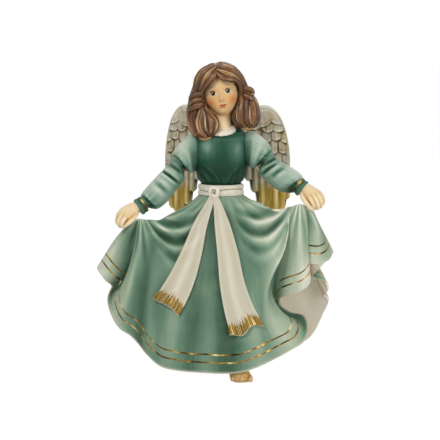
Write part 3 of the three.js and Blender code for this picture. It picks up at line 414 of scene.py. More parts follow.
def add(finish, kind, inputs=None, stops=None, **settings):
    """Adds a node to a finish: its settings, its ramp's stops, and its inputs as values or links."""
    tree = finish.node_tree
    node = tree.nodes.new(kind)
    for key, value in settings.items():
        setattr(node, key, value)
    for i, (place, colour) in enumerate(stops or ()):
        stop = node.color_ramp.elements[i] if i < 2 else node.color_ramp.elements.new(place)
        stop.position = place
        stop.color = linear(colour)
    for key, value in (inputs or {}).items():
        if isinstance(value, bpy.types.NodeSocket):
            tree.links.new(value, node.inputs[key])
        else:
            node.inputs[key].default_value = value
    return node


def new_finish(name):
    finish = bpy.data.materials.new(name)
    finish.use_nodes = True
    finish.node_tree.nodes.clear()
    return finish


BRUSH_RIDGE = 0.4 * MM  # height of the ridges that a brush leaves in the glaze


def painted(finish, colour, roughness, bump, strength, specular=0.15, metallic=0.0):
    """Ends a finish with fired paint on porcelain."""
    ridges = add(finish, "ShaderNodeBump", {"Strength": strength, "Distance": BRUSH_RIDGE, "Height": bump})
    shader = add(finish, "ShaderNodeBsdfPrincipled", {
        "Base Color": colour, "Roughness": roughness, "Metallic": metallic, "Specular IOR Level": specular,
        "Normal": ridges.outputs[0]})
    add(finish, "ShaderNodeOutputMaterial", {"Surface": shader.outputs[0]})
    return finish


def blend_colour(finish, amount, below, above, kind="MIX"):
    return add(finish, "ShaderNodeMix", {0: amount, 6: below, 7: above}, data_type="RGBA",
               blend_type=kind).outputs[2]


def reckon(finish, operation, *values, clamp=False):
    return add(finish, "ShaderNodeMath", dict(enumerate(values)), operation=operation,
               use_clamp=clamp).outputs[0]


def scaled(finish, value, by, plus=0.0, clamp=False):
    return reckon(finish, "MULTIPLY_ADD", value, by, plus, clamp=clamp)


def ramp(finish, tone, stops):
    return add(finish, "ShaderNodeValToRGB", {"Fac": tone}, stops).outputs[0]


def field_of(finish, name):
    return add(finish, "ShaderNodeAttribute", attribute_name=name).outputs["Fac"]


def tone_of(finish, wash_and_shade_share, grain, grain_share, level, clamp=True):
    """Pale on what stands proud and dark in the hollows, broken up by a grain: painted light and shade, on
    the greens partly the maker's wash too.
    """
    return scaled(finish, field_of(finish, "wash_and_shade"), wash_and_shade_share,
                  scaled(finish, grain, grain_share, level), clamp)


def strokes_of(finish, across, along, detail=3.0):
    """Brush strokes that follow the piece's own rows: counts across and along it."""
    uv = add(finish, "ShaderNodeUVMap")
    spread = add(finish, "ShaderNodeMapping", {"Vector": uv.outputs[0], "Scale": (across, along, 1)})
    return add(finish, "ShaderNodeTexNoise", {"Vector": spread.outputs[0], "Scale": 1.0, "Detail": detail},
               noise_dimensions="2D").outputs["Fac"]


def mottle_of(finish, size, detail=3.0):
    """Cloudy unevenness of the given size in millimetres."""
    place = add(finish, "ShaderNodeTexCoord")
    return add(finish, "ShaderNodeTexNoise",
               {"Vector": place.outputs["Object"], "Scale": 1 / (size * MM), "Detail": detail}).outputs["Fac"]


def gold_with_painted_glints(finish, painted_glint):
    """Burnished gold paint with painted reflections: it runs from bronze shadow to pale glint along a line.
    """
    return ramp(finish, painted_glint, [(0.3, "#2a1f09"), (0.74, "#eadca8"), (0.44, "#694f20"), (0.58, "#a5853f")])


def green_paint(name, tones, stroke_counts, stroke_share, gold=(), roughness=0.5, pale_rim=0.0):
    """Green underglaze, pale on crests and dark in folds, partly the maker's sponging and partly painted
    light and shade, with gold lines at heights above a hem.
    """
    finish = new_finish(name)
    strokes = strokes_of(finish, *stroke_counts)
    mottle = mottle_of(finish, 26)
    tone = tone_of(finish, 0.42, strokes, stroke_share, 0.5 - 0.5 * stroke_share, clamp=False)
    # adds the piece's painted light and shade: pale where it is lit, dark where shade falls
    tone = reckon(finish, "ADD", tone, field_of(finish, "painted_light_and_tint"))
    tone = reckon(finish, "ADD", tone, scaled(finish, mottle, 0.3, -0.15), clamp=True)
    colour = ramp(finish, tone, list(zip((0.0, 1.0, 0.28, 0.52, 0.78), tones)))
    olive = scaled(finish, mottle_of(finish, 21), 2.2, -1.15, clamp=True)
    colour = blend_colour(finish, scaled(finish, olive, 0.3), colour, linear("#87875c"))
    metal = 0.0
    rough = scaled(finish, mottle, 0.12, roughness - 0.06)
    if gold:
        height_on = field_of(finish, "hem_height")
        wander = scaled(finish, mottle_of(finish, 14, 1.0), 1.4, -0.7)
        # paler cream towards the very edge of the hem
        paleness = scaled(finish, height_on, -0.45, 1.0, clamp=True)
        colour = blend_colour(finish, scaled(finish, paleness, pale_rim), colour, linear("#d9d2bd"))
        line = reckon(finish, "ADD", height_on, wander)
        bands = [reckon(finish, "COMPARE", line, centre, 0.72) for centre in gold]
        metal = reckon(finish, "MAXIMUM", bands[0], bands[-1])
        colour = blend_colour(finish, metal, colour, gold_with_painted_glints(finish, mottle_of(finish, 9, 2.0)))
        rough = scaled(finish, metal, -0.2, rough)
        metal = scaled(finish, metal, 0.75)
    return painted(finish, colour, rough, strokes, 0.16, metallic=metal)


SAGE = ["#233f2e", "#d5d9c6", "#446450", "#6f8d77", "#a3b49b"]
SLEEVE = ["#223f30", "#d2d9ca", "#426452", "#6d8d7a", "#a0b4a1"]
FOREST = ["#0c2417", "#8aa392", "#163524", "#234c39", "#456c59"]
sage_paint = green_paint("sage_green_underglaze", SAGE, (620, 5), 0.16, gold=(9.2, 16.2), pale_rim=0.7)
sleeve_paint = green_paint("sage_green_sleeve_underglaze", SLEEVE, (60, 3), 0.18)
forest_paint = green_paint("forest_green_underglaze", FOREST, (90, 4), 0.1, gold=(1.3,), roughness=0.52)


def bisque_paint(name, dark, pale, warm):
    """Unglazed cream porcelain: chalky, with painted shade, darker and warmer, in the hollows."""
    finish = new_finish(name)
    tone = tone_of(finish, 0.4, mottle_of(finish, 18), 0.5, 0.32)
    colour = ramp(finish, tone, [(0.1, dark), (0.85, pale), (0.45, warm)])
    return painted(finish, colour, 0.62, mottle_of(finish, 1.6), 0.08)


lining_paint = bisque_paint("cream_bisque_lining", "#b7a887", "#fbf6e6", "#efe7d0")
collar_paint = bisque_paint("cream_bisque_collar", "#b39a6e", "#ece3d0", "#d8c7a2")


def sash_paint_of():
    """Cream glaze with faint grey-brown strokes along the cloth and painted shade in its folds, with brushed
    gold fringes at the ends.
    """
    finish = new_finish("cream_sash_glaze")
    strokes = strokes_of(finish, 34, 2.5)
    tone = tone_of(finish, 0.36, strokes, 0.4, 0.36)
    colour = ramp(finish, tone, [(0.08, "#7d6c4a"), (0.9, "#e6e1d2"), (0.38, "#c0b79d"), (0.62, "#d3ccb8")])
    reach = scaled(finish, strokes_of(finish, 26, 0.6, 2.0), 17.0, 1.5)
    height_on = field_of(finish, "fringe")
    brushed = scaled(finish, reckon(finish, "LESS_THAN", height_on, reach),
                     reckon(finish, "GREATER_THAN", height_on, 0.4))
    colour = blend_colour(finish, brushed, colour, gold_with_painted_glints(finish, strokes_of(finish, 44, 1.5, 2.0)))
    rough = scaled(finish, brushed, -0.2, 0.5)
    return painted(finish, colour, rough, strokes, 0.14, metallic=scaled(finish, brushed, 0.7))


sash_paint = sash_paint_of()


def skin_paint_of(name, tones):
    """Warm matt flesh tint on bisque, with painted shade, darker and more orange, in the creases."""
    finish = new_finish(name)
    tone = tone_of(finish, 0.5, mottle_of(finish, 12), 0.3, 0.4)
    # takes away the piece's painted light and shade: a painted shadow under the chin, painted light on the
    # foot
    tone = reckon(finish, "SUBTRACT", tone, field_of(finish, "painted_light_and_tint"), clamp=True)
    colour = ramp(finish, tone, list(zip((0.0, 0.95, 0.25, 0.5), tones)))
    return painted(finish, colour, 0.55, mottle_of(finish, 1.2), 0.05)


def face_paint_of():
    """Warm flesh tint with painted features and airbrushed cheeks, under a thin satin glaze."""
    finish = new_finish("painted_face_bisque")
    paint = add(finish, "ShaderNodeAttribute", attribute_name="features").outputs["Color"]
    shade = scaled(finish, mottle_of(finish, 10), 0.12, 0.94)
    grey = add(finish, "ShaderNodeCombineColor", {0: shade, 1: shade, 2: shade}).outputs[0]
    colour = blend_colour(finish, 1.0, paint, grey, "MULTIPLY")
    rough = scaled(finish, field_of(finish, "gloss"), -0.2, 0.52)
    return painted(finish, colour, rough, mottle_of(finish, 1.2), 0.04)


skin_paint = skin_paint_of("skin_bisque", ["#7d4a1e", "#f5e3bf", "#b8854c", "#e0be8a"])
# the skin again for the feet, more orange and paler: painted light against the skirt's shadow
lit_foot_paint = skin_paint_of("bare_foot_bisque_painted_light", ["#93561c", "#f8d596", "#cc8c42", "#ebb264"])
face_paint = face_paint_of()


def hair_paint_of():
    """Chestnut glaze, nearly black in the grooves and tan on the strands, as painted shade and light over the
    glaze's own tones, with cream marks low down that are partly brushed lines and partly painted highlights.
    """
    finish = new_finish("chestnut_hair_glaze")
    strokes = strokes_of(finish, 70, 1.6)
    tone = tone_of(finish, 0.6, strokes, 0.5, 0.2, clamp=False)
    tone = reckon(finish, "ADD", tone, scaled(finish, mottle_of(finish, 16), 0.4, -0.2), clamp=True)
    colour = ramp(finish, tone, [
        (0.06, "#140a05"), (0.96, "#c39a68"), (0.3, "#341d0d"), (0.55, "#5c3a20"), (0.78, "#845a36")])
    # cream marks: partly brushed lines, partly painted highlights
    colour = blend_colour(finish, field_of(finish, "streak_and_highlight"), colour, linear("#ecd6a4"))
    return painted(finish, colour, 0.24, strokes, 0.14, specular=0.3)


hair_paint = hair_paint_of()


def feather_paint_of():
    """Grey-beige glaze with brown painted shade between feathers, hints of moss and sky, and ochre on the
    long tips.
    """
    finish = new_finish("feather_glaze")
    # barbs are about a millimetre apart, coarser than on a bird, as the sculptor combed them
    barbs = reckon(finish, "SINE", scaled(finish, field_of(finish, "barb"), 5.2))
    tone = tone_of(finish, 0.72, mottle_of(finish, 13), 0.7, 0.24, clamp=False)
    # adds painted shade and light on each wing, and the brown dabs painted on the feather tips
    tone = reckon(finish, "ADD", tone, field_of(finish, "painted_light_and_tint"))
    tone = reckon(finish, "ADD", tone, scaled(finish, barbs, 0.035), clamp=True)
    colour = ramp(finish, tone, [(0.1, "#4a3514"), (0.92, "#e2dbc9"), (0.34, "#8d7b52"), (0.58, "#bdb195")])
    moss = scaled(finish, mottle_of(finish, 8), 2.6, -1.35, clamp=True)
    colour = blend_colour(finish, scaled(finish, moss, 0.6), colour, linear("#7f8350"))
    sky = scaled(finish, mottle_of(finish, 10), -3.4, 1.75, clamp=True)
    colour = blend_colour(finish, scaled(finish, sky, 0.62), colour, linear("#b4bab9"))
    paleness = scaled(finish, field_of(finish, "wash_and_shade"), 0.3, strokes_of(finish, 9, 2.0), clamp=True)
    ochre = ramp(finish, paleness, [(0.18, "#5f4718"), (0.9, "#ecd79d"), (0.5, "#b3953f")])
    wash = field_of(finish, "gilt")
    colour = blend_colour(finish, wash, colour, ochre)
    return painted(finish, colour, 0.5, barbs, 0.1, metallic=scaled(finish, wash, 0.25))


feather_paint = feather_paint_of()


# Skirt

def draped(turn, share):
    """The skirt's cloth from waist to hem, drawn out to the hands on both sides."""
    waist = ringed(TURN * turn, *SKIRT_RING, WAIST_Z)
    hem = evenly(HEM, turn, closed=True)
    down = share[:, None, None]
    cloth = waist + (hem - waist) * (down + 0.1 * np.sin(math.pi * down))
    cloth[..., 2] = WAIST_Z + (hem[:, 2] - WAIST_Z) * share[:, None]
    low_share = np.clip((down - HELD_AT) / (1 - HELD_AT), 0, 1)
    for gather in GATHERS:
        offset = (turn - gather["turn"] + 1.5) % 1 - 0.5
        reach = np.where(offset < 0, gather["before"], gather["after"])
        pull = 0.88 * np.exp(-np.abs(offset / reach) ** 3)
        start, end = np.array(gather["from"], float), np.array(gather["to"], float)
        hand = start + (end - start) * ease(offset, -0.07, 0.07)[:, None]
        low = (waist + hand) / 2
        low[:, 2] -= 0.32 * np.linalg.norm(waist - hand, axis=1)
        part = np.clip(down / HELD_AT, 0, 1)
        bow = (1 - part) ** 2 * waist + 2 * part * (1 - part) * low + part ** 2 * hand
        held = np.where(down < HELD_AT, bow, hand + (hem - hand) * low_share)
        cloth += (held - cloth) * pull[None, :, None]
    for middle, width, most_at, shift in HANGS:
        rise, ebb = 1.2 * np.array([most_at, 1 - most_at]) / max(most_at, 1 - most_at)
        sway = (low_share / most_at) ** rise * ((1 - low_share) / (1 - most_at)) ** ebb
        cloth = cloth + sway * bell((turn - middle) / width)[None, :, None] * np.array(shift, float)
    return cloth


def fold_depth(turn, share, cloth):
    """Pleats under the sash, bows from hands to waist, a fan below each hand, long folds front and back."""
    down = share[:, None]
    pleats = 0.9 * np.cos(22 * TURN * turn) * bell(down / 0.3)
    hand = np.where(cloth[..., :1] > 0, np.array(GATHERS[0]["from"]), np.array(GATHERS[1]["to"]))
    along = np.clip(cloth[..., 0] / hand[..., 0], 0.06, 0.97)
    chord = WAIST_Z + (hand[..., 2] - WAIST_Z) * along
    sag = (chord - cloth[..., 2]) / (4 * along * (1 - along))
    before = ease(-cloth[..., 1], -4, 8)
    bows = 2.8 * np.sin(TURN * (sag - 5.3) / 15) * bell((sag - 27) / 20)
    bows = bows * before * ease(along, 0.14, 0.45) * (1 - ease(along, 0.7, 0.9))
    bows = bows * (1 - ease(down, 0.44, 0.58))
    fans = 0
    for gather in GATHERS:
        offset = (turn - gather["turn"] + 1.5) % 1 - 0.5
        spread = np.where(offset < 0, gather["fan"][0], gather["fan"][1])
        strength = ease(down, HELD_AT, HELD_AT + 0.18) * (1 - 0.75 * ease(down, 0.72, 1))
        fans = fans + 1.7 * bell(offset / spread) * strength * np.cos(TURN * offset / 0.04)
    front = (turn + 0.5) % 1 - 0.5
    long_front = 1.5 * bell(front / 0.1) * ease(down, 0.3, 0.8) * np.cos(TURN * (front + 0.01) / 0.05)
    behind = turn - 0.54
    long_back = 0.9 * bell(behind / 0.16) * ease(down, 0.12, 0.6) * np.cos(TURN * behind / 0.05)
    return ease(down, 0, 0.1) * (pleats + bows + fans + long_front + long_back)


CAD_MARGIN = 0.05  # the folds stay this far inside the solids' box


def skirt_piece():
    turn, share = (spaced(421) + 0.5) % 1, spaced(106)  # the seam is at the back
    cloth = draped(turn, share)
    calm = cloth
    for _ in range(24):
        ring = calm[:, :-1]
        calm = (np.roll(ring, 1, 1) + 2 * ring + np.roll(ring, -1, 1)) / 4
        calm = np.concatenate([calm, calm[:, :1]], 1)
    cloth = cloth + outward(calm) * fold_depth(turn, share, cloth)[..., None]
    x, z, front = cloth[..., 0], cloth[..., 2], ease(-cloth[..., 1], 4, 22)
    # painted light and shade on the skirt's front: darker down its middle, a pale lit patch on its left,
    # paler towards the waist
    middle = 0.24 * bell((x - 2) / 12) * (1 - ease(z, 138, 156)) + 0.1 * bell(x / 42)
    painted_light_and_tint = front * (0.28 * bell((x - 52) / 18) - middle) + 0.16 * ease(z, 138, 158)
    # painted light and shade of fine creases that fan out below each hand, where no such folds are modelled
    for gather in GATHERS:
        hand = np.array(gather["from"] if gather["from"][0] > 0 else gather["to"], float)
        apart = np.linalg.norm(cloth - hand, axis=-1)
        bearing = np.arctan2(cloth[..., 0] - hand[0], hand[2] - cloth[..., 2])
        fanned = np.cos(20 * bearing + 2.4 * np.sin(3 * bearing)) + 0.5 * np.cos(33 * bearing + 1)
        painted_light_and_tint = painted_light_and_tint + 0.2 * fanned * bell(apart / 38) * ease(apart, 2, 9) * front
    fields = {"hem_height": height_above_end(cloth), "painted_light_and_tint": painted_light_and_tint}
    skirt = close_up(piece_of("painted_skirt", cloth, fields), recalculate=False)
    wash_and_shade(skirt, 9, 2.5)
    for paint in (sage_paint, lining_paint):
        skirt.data.materials.append(paint)
    thick = skirt.vertex_groups.new(name="wall")
    hem = np.empty(len(skirt.data.vertices), dtype=np.float32)
    skirt.data.attributes["hem_height"].data.foreach_get("value", hem)
    for i, weight in enumerate(1 - ease(hem, 6, 30)):
        thick.add([i], float(weight), "REPLACE")
    modify(skirt, "SOLIDIFY", thickness=SKIRT_WALL * MM, offset=-1, material_offset=1,
           material_offset_rim=1, vertex_group="wall", thickness_vertex_group=0.25)
    round_edges(skirt, 0.7, 2)
    low, high = (np.array(corner) / MM - WAIST_MIDDLE for corner in cad_box)
    put(skirt, np.clip(places_of(skirt), low + CAD_MARGIN, high - CAD_MARGIN))
    done(smoothed(skirt), "sage_green", ["skirt"])
    return skirt


skirt = skirt_piece()


# Torso

NECKLINE = 58  # above the waist
NECKLINE_SLOPE = 0.3  # it falls towards the front
BODICE_SECTIONS = [  # rise above the waist, half width, half depth
    (-12, 12, 9.5), (-8, 16, 12), (-3, 17.5, 13), (10, 17.5, 13), (14, 20.4, 14.8), (22, 22.8, 15.6),
    (32, 23.8, 16), (47, 23.2, 15), (54, 22.4, 13.6), (57, 19.4, 12.4), (58, 12.5, 11.5),
]


def bodice_piece():
    rise, width, depth = curve(BODICE_SECTIONS, spaced(101)).T[..., None]
    surface = ringed(once_round(161), width, depth, WAIST_Z + rise)[::-1]
    slope = NECKLINE_SLOPE * ease(surface[..., 2], WAIST_Z + 50, WAIST_Z + NECKLINE)
    surface[..., 2] += slope * surface[..., 1]
    lines = [
        ([(-19, 190), (-11, 182), (-4, 171)], 0.5, 1.4), ([(-13, 187), (-5, 178), (0, 170)], 0.45, 1.1),
        ([(20, 190), (13, 181), (8, 171)], 0.5, 1.4), ([(12, 185), (5, 170)], 0.45, 1.1),
        ([(17, 184), (11, 171)], 0.4, 1.1), ([(-17, 182), (-10, 171)], 0.4, 1.1),
        ([(-3, 183), (2, 170)], 0.4, 1.0),
    ]
    surface = pressed(surface, lines)[0]
    x, z = surface[..., 0], surface[..., 2]
    front = ease(-surface[..., 1], 2, 10)
    # painted highlights on both sides of the chest, darker at the sides by the sleeves, a paler patch on the
    # back, and darker low down, lighter towards the top
    painted_light_and_tint = 0.42 * bell((x + 12.5) / 8) * bell((z - 206) / 11)
    painted_light_and_tint = painted_light_and_tint + 0.36 * bell((x - 15) / 7.5) * bell((z - 203) / 13)
    painted_light_and_tint = front * (painted_light_and_tint - 0.2 * bell((np.abs(x) - 23) / 2.2))
    painted_light_and_tint = painted_light_and_tint + (1 - front) * 0.16 * bell((z - 204) / 14) * bell(x / 13)
    painted_light_and_tint = painted_light_and_tint - 0.14 * bell((z - 180) / 11) - 0.16 + 0.12 * ease(z, 188, 216)
    bodice = cast("painted_bodice", domed(surface, 2, 0.1), {"painted_light_and_tint": over_ends(painted_light_and_tint, 2)}, 3, 0.6,
                  "forest_green", ["bodice"], forest_paint)
    paint_all(bodice, "hem_height", NO_EDGE)


def collar_piece():
    angle = once_round(121)
    profile = curve([(12.6, -1.4), (13.4, 0.6), (12.6, 2.2), (10.9, 3.6), (9.4, 4.6), (8.2, 4.2), (8, 2),
                     (9.6, -0.4)], spaced(33), closed=True)[::-1]
    out = profile[:, :1] + 0.16 * np.cos(15 * angle)
    surface = ringed(angle, out, out - 1, WAIST_Z + NECKLINE + profile[:, 1:])
    surface[..., 2] += NECKLINE_SLOPE * surface[..., 1]
    cast("chemise_collar", surface, {}, 2.5, 0.5, "cream", ["collar"], collar_paint)


def neck_piece():
    surface = limb([(1.2, -0.5, 211, 9, 8.6), (1.3, -1.2, 220, 7.8, 7.6), (1.4, -2, 231, 7.3, 7.3),
                    (1.6, -3, 243, 7.8, 8)], 48, 64)
    # painted shadow under the chin, at the top of the neck
    chin_shadow = 0.2 * ease(surface[..., 2], 226, 238)
    cast("painted_neck", domed(surface, 2, 0.1), {"painted_light_and_tint": over_ends(chin_shadow, 2)}, 4, 1,
         "skin", ["neck"], skin_paint)


bodice_piece()
collar_piece()
neck_piece()


# Sash

def sash_piece():
    """Two rolls of cloth round the waist with a dark slit between them."""
    angle = once_round(193)
    profile = curve([(0, -0.5), (1.9, -0.6), (2.8, 0.6), (2.8, 2.2), (2.3, 3.5), (0.9, 4.2), (2.4, 4.9),
                     (2.8, 6.3), (2.7, 7.8), (1.4, 9.1), (0, 9)], spaced(61), closed=True)[::-1]
    drift = 0.9 * np.sin(angle + 0.6) + 0.5 * np.sin(3 * angle)
    mid = bell((profile[:, 1:] - 4.4) / 2.6) * ease(profile[:, :1], 0.8, 1.8)
    up = profile[:, 1:] + mid * drift[None]
    out = profile[:, :1] + 0.12 * np.cos(9 * angle + 1) * ease(profile[:, :1], 0.5, 2)
    half_width, half_depth = WAIST_HALF
    surface = ringed(angle, half_width + 0.3 + out, half_depth + 0.3 + out, WAIST_Z + 0.8 + up)
    sash = cast("waist_sash_band", surface, {}, 2, 0.4, "cream", ["waist_sash"], sash_paint)
    paint_all(sash, "fringe", NO_EDGE)


def knot_piece():
    """A flat knot: a loop of the sash drawn round its own strands."""
    strands = [  # the loop first
        [(-9.6, -17.2, 163.6, 1.3, 1.5), (-9.9, -18, 166.6, 1.5, 1.7), (-9.2, -18.3, 169.6, 1.6, 1.8),
         (-6.4, -18.5, 170.4, 1.7, 1.8), (-3.6, -18.4, 169.4, 1.9, 1.9), (-3.2, -18.7, 166.2, 2.1, 1.9),
         (-4, -18.8, 163.6, 1.8, 1.8), (-6.8, -18.6, 163.2, 1.7, 1.7), (-8.6, -17.6, 164.6, 1.4, 1.5)],
        [(-13.4, -13.4, 168.6, 1.5, 1.8), (-10.8, -15.6, 168.4, 1.8, 2), (-7.4, -16.2, 167.8, 1.8, 2),
         (-4.4, -16, 167, 1.6, 1.8)],
        [(-12.6, -13.6, 164.4, 1.5, 1.6), (-10, -15.6, 164.6, 1.7, 1.7), (-6.6, -16.2, 165.4, 1.8, 1.8),
         (-2.6, -15.8, 166, 1.6, 1.8)],
        [(-5.2, -16.2, 169.4, 1.0, 1.1), (-6, -17.6, 168.4, 1.1, 1.2), (-7.2, -17.8, 166.8, 1.1, 1.2),
         (-7.8, -16.4, 165.2, 1, 1.1)],
    ]
    parts = [close_up(piece_of("strand", domed(limb(path, 48, 28, facing=(0, 0, 1))))) for path in strands]
    knot = melted("sash_knot_wrap", parts, 0.3, 2)
    wash_and_shade(knot, 2, 0.4)
    paint_all(knot, "fringe", NO_EDGE)
    done(knot, "cream", ["sash_knot"], sash_paint)


def front_of_skirt(x, z):
    """How far back the skirt's front lies, seen from well before it."""
    origin = Vector(((x + WAIST_MIDDLE[0]) * MM, -0.3, min(z, WAIST_Z - 2) * MM))
    _, place, _, _ = skirt.ray_cast(origin, Vector((0, 1, 0)))
    return place.y / MM - WAIST_MIDDLE[1]


TAIL_THICK = 1.9


def tail_piece(name, node, stations, over, end_wave):
    """A hanging end of the sash that lies on the skirt's folds and ends in a fringe."""
    stations = np.array(stations, float)
    rows, columns = 96, 26
    share = spaced(rows + 1)
    middle = curve(stations[:, :2], share)
    half = curve(stations[:, 2:], share)
    slope = unit(np.gradient(middle, axis=0))
    across = np.stack([slope[:, 1], -slope[:, 0]], -1)
    step = np.linspace(-1, 1, columns + 1)
    flat = middle[:, None] + across[:, None] * (step[None] * half)[..., None]
    near_end = ease(share, 0.86, 1)[:, None]
    flat += slope[:, None] * (near_end * end_wave(step)[None])[..., None]
    front = np.array([[front_of_skirt(x, WAIST_Z - drop) for x, drop in row] for row in flat])
    bridged = front.copy()
    for _ in range(90):
        bridged = np.minimum(bridged, front)
        inner = np.pad(bridged, 1, mode="edge")
        bridged = (inner[:-2, 1:-1] + inner[2:, 1:-1] + inner[1:-1, :-2] + inner[1:-1, 2:]) / 4
    bridged = np.minimum(bridged, front)
    pleat = 0.5 * np.cos(step * 5.2 + 0.4)[None] * ease(share, 0.05, 0.5)[:, None]
    pleat = pleat + (1.3 * np.sin(step * 4.6 + 0.8) + 0.9 * np.abs(step) ** 6)[None] * near_end
    y = bridged - 0.7 - over - TAIL_THICK - np.maximum(pleat + 0.6, 0)
    surface = np.stack([flat[..., 0], y, WAIST_Z - flat[..., 1]], -1)
    tail = piece_of(name, surface, {"fringe": height_above_end(surface)})
    if vertex_values(tail, "normal")[:, 1].mean() > 0:
        with editing(tail):
            bpy.ops.mesh.flip_normals()
    modify(tail, "SOLIDIFY", thickness=TAIL_THICK * MM, offset=-1)
    round_edges(tail, 0.6, 3)
    wash_and_shade(smoothed(tail), 4, 0.9)
    done(tail, "cream", [node], sash_paint)


sash_piece()
knot_piece()
tail_piece("left_tail_ribbon", "left_sash_tail",
           [(-5.2, -2, 2.4), (-3.4, 5, 3.4), (1, 23, 6.5), (6, 48, 9), (10, 73, 10.6), (16, 95, 12.6),
            (22.6, 112, 14.6)], 0.3, lambda step: 2.4 * np.cos(step * 4.2 + 1.6))
tail_piece("right_tail_ribbon", "right_sash_tail",
           [(-7.6, -2, 2.2), (-10, 5, 3), (-18, 23, 5.6), (-25.5, 46, 8.4), (-33.5, 67, 10.6), (-41, 82, 12),
            (-48, 93, 12.8)], 0, lambda step: 1.2 * np.cos(step * 3 + 2.4))


# Arms

def sleeve_piece(name, node, rows, creases, gathers, tint):
    """A puffed sleeve with painted light and shade: pale on top and where it swells, dark underneath, in its
    creases and where it is drawn in.

    The gathers are their strength at the top and at the end, and the share that the top's painted shadow
    takes.
    """
    rows, share = np.array(rows, float), spaced(121)
    upper = curve(np.stack([rows[:, 0], rows[:, 4], WAIST_Z + rows[:, 1]], 1), share)
    lower = curve(np.stack([rows[:, 2], rows[:, 4], WAIST_Z + rows[:, 3]], 1), share)
    middle, half = (upper + lower) / 2, (upper - lower) / 2
    back = unit(np.cross(np.gradient(middle, axis=0), half)) * curve(rows[:, 5:], share)
    angle, down = once_round(145)[None], share[:, None]
    ripple = np.cos(12 * angle + 2.4 * np.sin(2 * angle + 1)) + 0.5 * np.cos(19 * angle + 1)
    grow = 1 + 0.035 * ripple * (0.4 * gathers[0] * bell(down / 0.2) + gathers[1] * bell((down - 1) / 0.22))
    ring = half[:, None] * np.cos(angle)[..., None] + back[:, None] * np.sin(angle)[..., None]
    surface = middle[:, None] + grow[..., None] * ring
    surface, crease = pressed(surface, creases)
    # painted light and shade: paler on top and mid-puff, darker by the tint, in the creases and at the
    # gathered ends
    painted_light_and_tint = 0.2 * np.cos(angle) + 0.2 * bell((down - 0.58) / 0.26) - tint - 0.2 * np.maximum(crease, 0)
    painted_light_and_tint = painted_light_and_tint - 0.3 * (gathers[0] * bell(down / gathers[2]) + gathers[1] * bell((down - 1) / 0.12))
    end_rows = 9
    cast(name, domed(surface, end_rows, 0.32), {"painted_light_and_tint": over_ends(painted_light_and_tint, end_rows)}, 4, 0.9,
         "sage_green", [node], sleeve_paint)


def cuff_piece(name, node, wrist, knuckles):
    """A narrow ring square to the line from wrist to knuckles."""
    along = unit(np.subtract(knuckles, wrist))
    down = unit(np.array([0, 0, -1.0]) + along * along[2])
    side = np.cross(along, down)
    profile = curve([(0.1, 5.3), (0.1, 7.0), (0.8, 7.7), (2.2, 7.3), (3.6, 7.5), (5.2, 7.9), (6.4, 7.2),
                     (6.5, 5.3), (3.3, 5.2)], spaced(49), closed=True)
    angle = once_round(97)[:, None]
    ring = down * np.cos(angle) + side * np.sin(angle)
    centre = wrist + along * profile[:, :1]
    surface = centre[:, None] + ring[None] * profile[:, 1:, None]
    height = np.repeat(profile[:, :1], len(ring), 1)
    cast(name, surface, {"hem_height": height}, 1.5, 0.4, "forest_green", [node], forest_paint)


HANDS = {  # palm, four fingers and thumb: x, y, z, half width and half depth
    "left": (
        [(66, -17, 176, 4.6, 4.4), (71.1, -19.5, 172.6, 4.8, 4.4), (76, -22, 168.6, 6.2, 4.6),
         (80.2, -24, 164.6, 7.4, 4.6), (83, -24.6, 161, 7.2, 4.2), (84.6, -24, 157.6, 5.8, 3.6)],
        [[(77.5, -26, 164.5), (80, -28, 160.5), (82, -27.5, 156), (82.6, -25, 152.4)],
         [(80.5, -26.5, 166), (83.6, -28.6, 161.6), (85.4, -28, 156.6), (85.4, -25.4, 152.6)],
         [(83.5, -25.8, 167.2), (86.8, -27.4, 162.6), (88.4, -26.6, 157.6), (88.2, -24, 154)],
         [(86, -24, 167.8), (89, -25, 163.6), (90.3, -24.2, 159.6), (90, -22, 156.6)]],
        [(71.5, -21.5, 168), (72.6, -24, 163), (75.6, -26.4, 157.8), (80.2, -26.6, 152.8)]),
    "right": (
        [(-66.5, -17.4, 158, 4.6, 4.4), (-73.5, -19.6, 154, 4.9, 4.4), (-79, -22.5, 151, 6.4, 4.8),
         (-84, -24.5, 147.6, 7.2, 4.8), (-87, -24.6, 143.6, 6.6, 4.4), (-88, -23.6, 140, 5.2, 3.6)],
        [[(-83.5, -27, 147), (-86.2, -29, 143), (-87.8, -28.6, 139.4), (-87, -26, 136.6)],
         [(-86, -26.6, 149.4), (-89, -28, 144.6), (-90.4, -27.4, 140), (-89.4, -24.6, 136.8)],
         [(-87.6, -24.6, 150.4), (-90.8, -25.4, 146), (-91.8, -24.6, 141.2), (-90.6, -22, 138)],
         [(-88, -21.8, 150), (-91, -22, 146.4), (-91.6, -21.2, 142.4), (-90.2, -19.4, 139.6)]],
        [(-74.6, -21.5, 149.6), (-77.4, -24.6, 144.8), (-81, -26.8, 141), (-85.6, -27, 137.4)]),
}
FINGER_RADII = (2.2, 2.25, 2.05, 1.7)
THUMB_RADII = (2.7, 2.7, 2.4, 1.9)


def hand_piece(name, node, palm, fingers, thumb):
    """A hand with its back to the front that pinches the cloth between thumb and fingers."""
    parts = [limb(palm, 36, 32)]
    for path, radii in [(finger, FINGER_RADII) for finger in fingers] + [(thumb, THUMB_RADII)]:
        parts.append(limb([(*place, r, r) for place, r in zip(path, radii)], 28, 18))
    hand = melted(name, [close_up(piece_of("part", domed(part, 4, 0.8))) for part in parts], 0.4, 4)
    wash_and_shade(hand, 2.5, 0.7)
    done(hand, "skin", [node], skin_paint)


